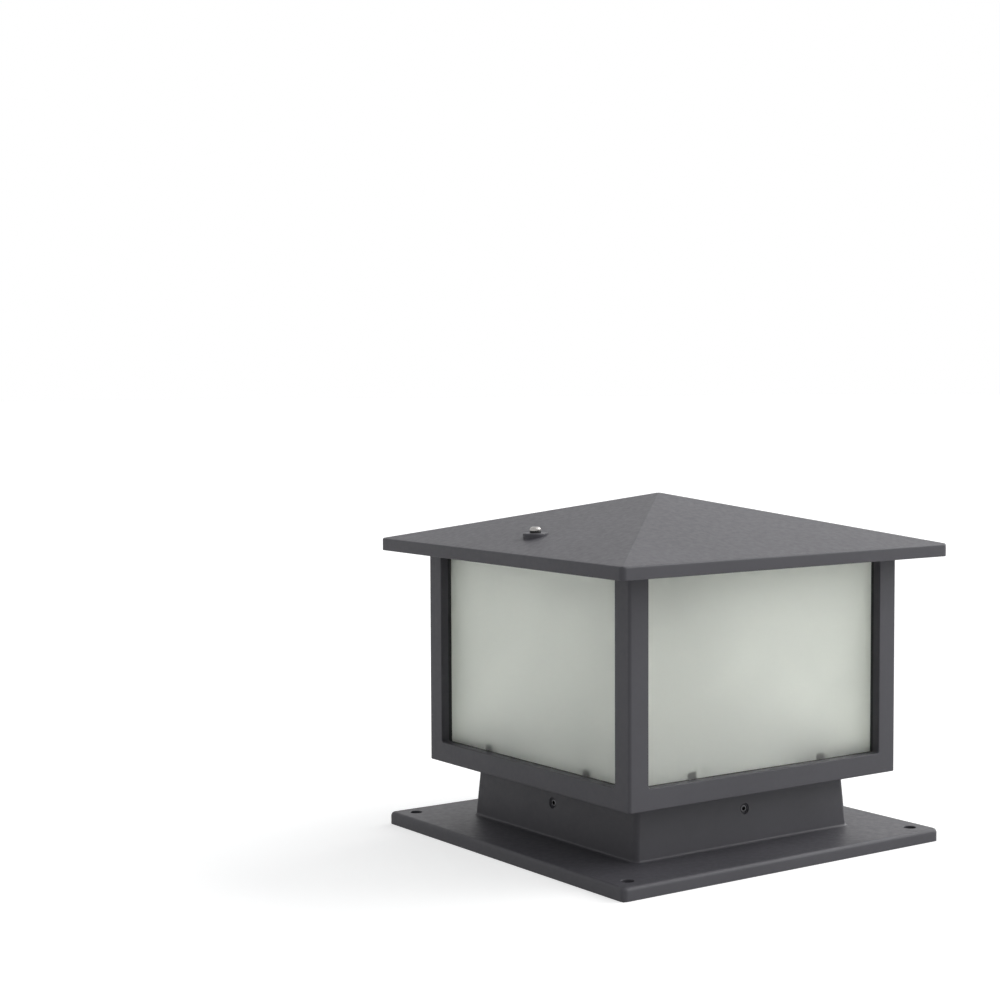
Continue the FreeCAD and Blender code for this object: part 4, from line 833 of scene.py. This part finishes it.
opal, opal_shader = plain_finish("opal_plastic", (0.84, 0.84, 0.82), 0.01, (0.34, 0.42), 2000)
opal_shader.inputs["Subsurface Weight"].default_value = 0.3
opal_shader.inputs["Subsurface Radius"].default_value = (0.004, 0.004, 0.004)
coat_node("bulb_diffuser", opal)


# ---- terminal block ----
# Three poles moulded in natural nylon, each with a brass sleeve and two clamping
# screws, fixed to the tray by two screws through its web.

nylon, nylon_shader = plain_finish("natural_nylon", (0.72, 0.70, 0.64), 0.03, (0.38, 0.5), 1500)
nylon_shader.inputs["Subsurface Weight"].default_value = 0.15
nylon_shader.inputs["Subsurface Radius"].default_value = (0.002, 0.002, 0.0015)
block = whole_copy("moulded_block", "terminal_block")
block_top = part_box("terminal_block")[1].z
round_off(block, 0.4 * MM, lambda place: near(place.z, block_top), bend=40)
finish_piece(block, "lantern", nylon, ["terminal_block"])
coat_node("terminal_sleeves", brass)
coat_node("terminal_screws", stainless)
coat_node("terminal_fixings", stainless)


# ---- cable gland ----
# A black nylon gland through the tray: a hexagon flange and locknut clamp the tray, and
# the dome nut below squeezes a rubber ring on the supply cable.

black_nylon, _ = plain_finish("black_nylon", (0.018, 0.018, 0.019), 0.2, (0.36, 0.5), 1800)
for name, node in (("gland", "gland_body"), ("locknut", "gland_locknut")):
    piece = whole_copy(name, node)
    round_off(piece, 0.4 * MM, lambda place: True, bend=40, steps=2)
    finish_piece(piece, "lantern", black_nylon, [node])
dome_nut = whole_copy("dome_nut", "gland_dome")
round_off(dome_nut, 0.5 * MM, lambda place: True, bend=25, steps=3)
finish_piece(dome_nut, "lantern", black_nylon, ["gland_dome"])
coat_node("gland_seal", rubber)


# ---- leads and earth point ----
# Brown and blue leads run from the block to the holder. A green and yellow one runs to
# a ring tag that bonds the tray under its own screw.

YELLOW_FROM = 0.45
GREEN = (0.05, 0.26, 0.03, 1)
YELLOW = (0.78, 0.62, 0.03, 1)

brown_sleeve, _ = plain_finish("brown_insulation", (0.10, 0.035, 0.014), 0.08, (0.38, 0.5), 1500)
blue_sleeve, _ = plain_finish("blue_insulation", (0.02, 0.09, 0.36), 0.08, (0.38, 0.5), 1500)
coat_node("lead_live", brown_sleeve)
coat_node("lead_neutral", blue_sleeve)


def striped_insulation(name):
    """Green below and yellow above, as the two colours run along the lead."""
    material, tree, shader = new_material(name)
    normal = tree.nodes.new("ShaderNodeNewGeometry").outputs["Normal"]
    parts = tree.nodes.new("ShaderNodeSeparateXYZ")
    tree.links.new(normal, parts.inputs["Vector"])
    upper = tree.nodes.new("ShaderNodeMath")
    upper.operation = "GREATER_THAN"
    upper.inputs[1].default_value = YELLOW_FROM
    tree.links.new(parts.outputs["Z"], upper.inputs[0])
    mix = tree.nodes.new("ShaderNodeMix")
    mix.data_type = "RGBA"
    mix.inputs["A"].default_value = GREEN
    mix.inputs["B"].default_value = YELLOW
    tree.links.new(upper.outputs[0], mix.inputs["Factor"])
    tree.links.new(mix.outputs["Result"], shader.inputs["Base Color"])
    vary(tree, noise(tree, 1500, 2), 0.38, 0.5, shader.inputs["Roughness"])
    relief(tree, shader, (noise(tree, 1500, 2), 0.00001))
    return material


coat_node("earth_lead", striped_insulation("green_and_yellow_insulation"))
coat_node("earth_tag", brass)
coat_node("earth_screw", stainless)


# ---- roof gasket ----
# A square black rubber frame on the top ring, which the roof's pressing rib squeezes.

gasket = whole_copy("flat_gasket", "roof_gasket")
round_off(gasket, 0.4 * MM, lambda place: True)
finish_piece(gasket, "lantern", rubber, ["roof_gasket"])


# ---- roof ----
# Four formed panels, each a slope with its skirt, welded along the hips, ground flush
# and coated as one. Low bosses carry the two screws, and a rib presses on the gasket.

APEX = 255 * MM
ROOF_HALF = 150 * MM
EAVE = 210 * MM
SKIRT_TOP = 219 * MM
ROOF_SLOPE = 36 / 150
ROOF_EDGE = 143 * MM
ROOF_SCREW = 112 * MM
BOSS_TOP = 230.28 * MM
BOSS_RADIUS = 9 * MM
BOSS_BURIED = 3 * MM

panels = []
for side in SIDES:
    panels.append(whole_copy(f"panel_{side}", f"roof_panel_{side}"))
    bpy.ops.object.mode_set(mode="OBJECT")
roof = joined(*panels)
roof.name = "welded_roof"
bpy.ops.object.mode_set(mode="EDIT")
bpy.ops.mesh.select_all(action="SELECT")
bpy.ops.mesh.remove_doubles(threshold=WELD)
bpy.ops.mesh.select_mode(type="FACE")
bpy.ops.mesh.select_all(action="DESELECT")
mesh = bmesh.from_edit_mesh(roof.data)
for face in mesh.faces:
    middle = face.calc_center_median()
    diagonal = abs(face.normal.z) < 0.01 and near(abs(face.normal.x), abs(face.normal.y), 0.01)
    face.select = diagonal and near(abs(middle.x), abs(middle.y), 0.01 * MM)
bmesh.update_edit_mesh(roof.data)
bpy.ops.mesh.delete(type="FACE")


def select_slopes():
    bpy.ops.mesh.select_mode(type="FACE")
    bpy.ops.mesh.select_all(action="DESELECT")
    mesh = bmesh.from_edit_mesh(roof.data)
    for face in mesh.faces:
        sloping = near(face.normal.z, math.cos(math.atan(ROOF_SLOPE)), 0.004)
        if sloping and face.calc_center_median().z > SKIRT_TOP:
            face.select_set(True)
    bmesh.update_edit_mesh(roof.data)


# A seam round the slopes, a little in from the brow, keeps their large flat faces clear
# of its rounding.
for across, along in ((1, 0), (-1, 0), (0, 1), (0, -1)):
    select_slopes()
    bpy.ops.mesh.bisect(
        plane_co=(across * ROOF_EDGE, along * ROOF_EDGE, 0), plane_no=(across, along, 0)
    )
    bpy.ops.mesh.select_mode(type="EDGE")
    bpy.ops.mesh.mark_seam()
select_slopes()
bpy.ops.mesh.dissolve_limited(angle_limit=math.radians(0.4), delimit={"SEAM"})
bpy.ops.mesh.select_mode(type="EDGE")
bpy.ops.mesh.select_all(action="DESELECT")


def on_slope(place):
    return abs(place.z - (APEX - ROOF_SLOPE * reach_of(place))) < 0.5 * MM


def on_brow(place):
    at_brow = SKIRT_TOP - 0.3 * MM < place.z < SKIRT_TOP + 1.5 * MM and on_slope(place)
    return at_brow and reach_of(place) > ROOF_HALF - 5 * MM


def on_hip(edge, middle):
    diagonal = near(abs(middle.x), abs(middle.y), 0.02 * MM) and middle.z > SKIRT_TOP
    return diagonal and on_slope(middle) and edge.calc_length() > MM


def on_boss_rim(place):
    away = Vector((abs(place.x) - ROOF_SCREW, place.y))
    stands_out = near(place.z, BOSS_TOP) and abs(place.x) > ROOF_SCREW - BOSS_BURIED
    return stands_out and near(away.length, BOSS_RADIUS)


select_edges(roof, on_hip)
bpy.ops.mesh.mark_sharp()
round_off(roof, 1.2 * MM, on_brow, steps=4, bend=40)
round_off(
    roof, 0.5 * MM, lambda place: near(place.z, EAVE) and reach_of(place) > ROOF_HALF - 2 * MM
)
round_off(roof, 0.9 * MM, on_boss_rim)
finish_piece(
    roof, "roof", coat,
    [f"roof_panel_{side}" for side in SIDES], flatness=100,
)


# ---- roof screws ----
# Two M4 stainless pan-head screws with rubber-faced washers, which draw the roof down
# onto the gasket.

WASHER_THICK = 1.5 * MM
roof_screw = pan_screw("roof_screw", 4 * MM, 16 * MM, 0.7 * MM)
for side, sign in (("left", -1), ("right", 1)):
    washer = turned_piece(
        f"washer_{side}",
        [
            (2.06 * MM, 0), (3.9 * MM, 0), (4.1 * MM, 0.25 * MM), (4.1 * MM, 1.2 * MM),
            (3.85 * MM, WASHER_THICK), (2.06 * MM, WASHER_THICK),
        ],
        hollow=True,
    )
    bpy.ops.mesh.select_all(action="SELECT")
    bpy.ops.transform.translate(value=(sign * ROOF_SCREW, 0, BOSS_TOP))
    finish_piece(washer, "roof", rubber, ["roof_screw_washers"])
    place = Matrix.Translation((sign * ROOF_SCREW, 0, BOSS_TOP + WASHER_THICK))
    place = place @ Matrix.Rotation(math.radians(18 * sign), 4, "Z")
    screw = placed_copy(roof_screw, f"roof_screw_{side}_piece", place)
    finish_piece(
        screw, f"roof_screw_{side}", stainless, [f"roof_screw_{side}"], smooth=40
    )
bpy.data.objects.remove(roof_screw)
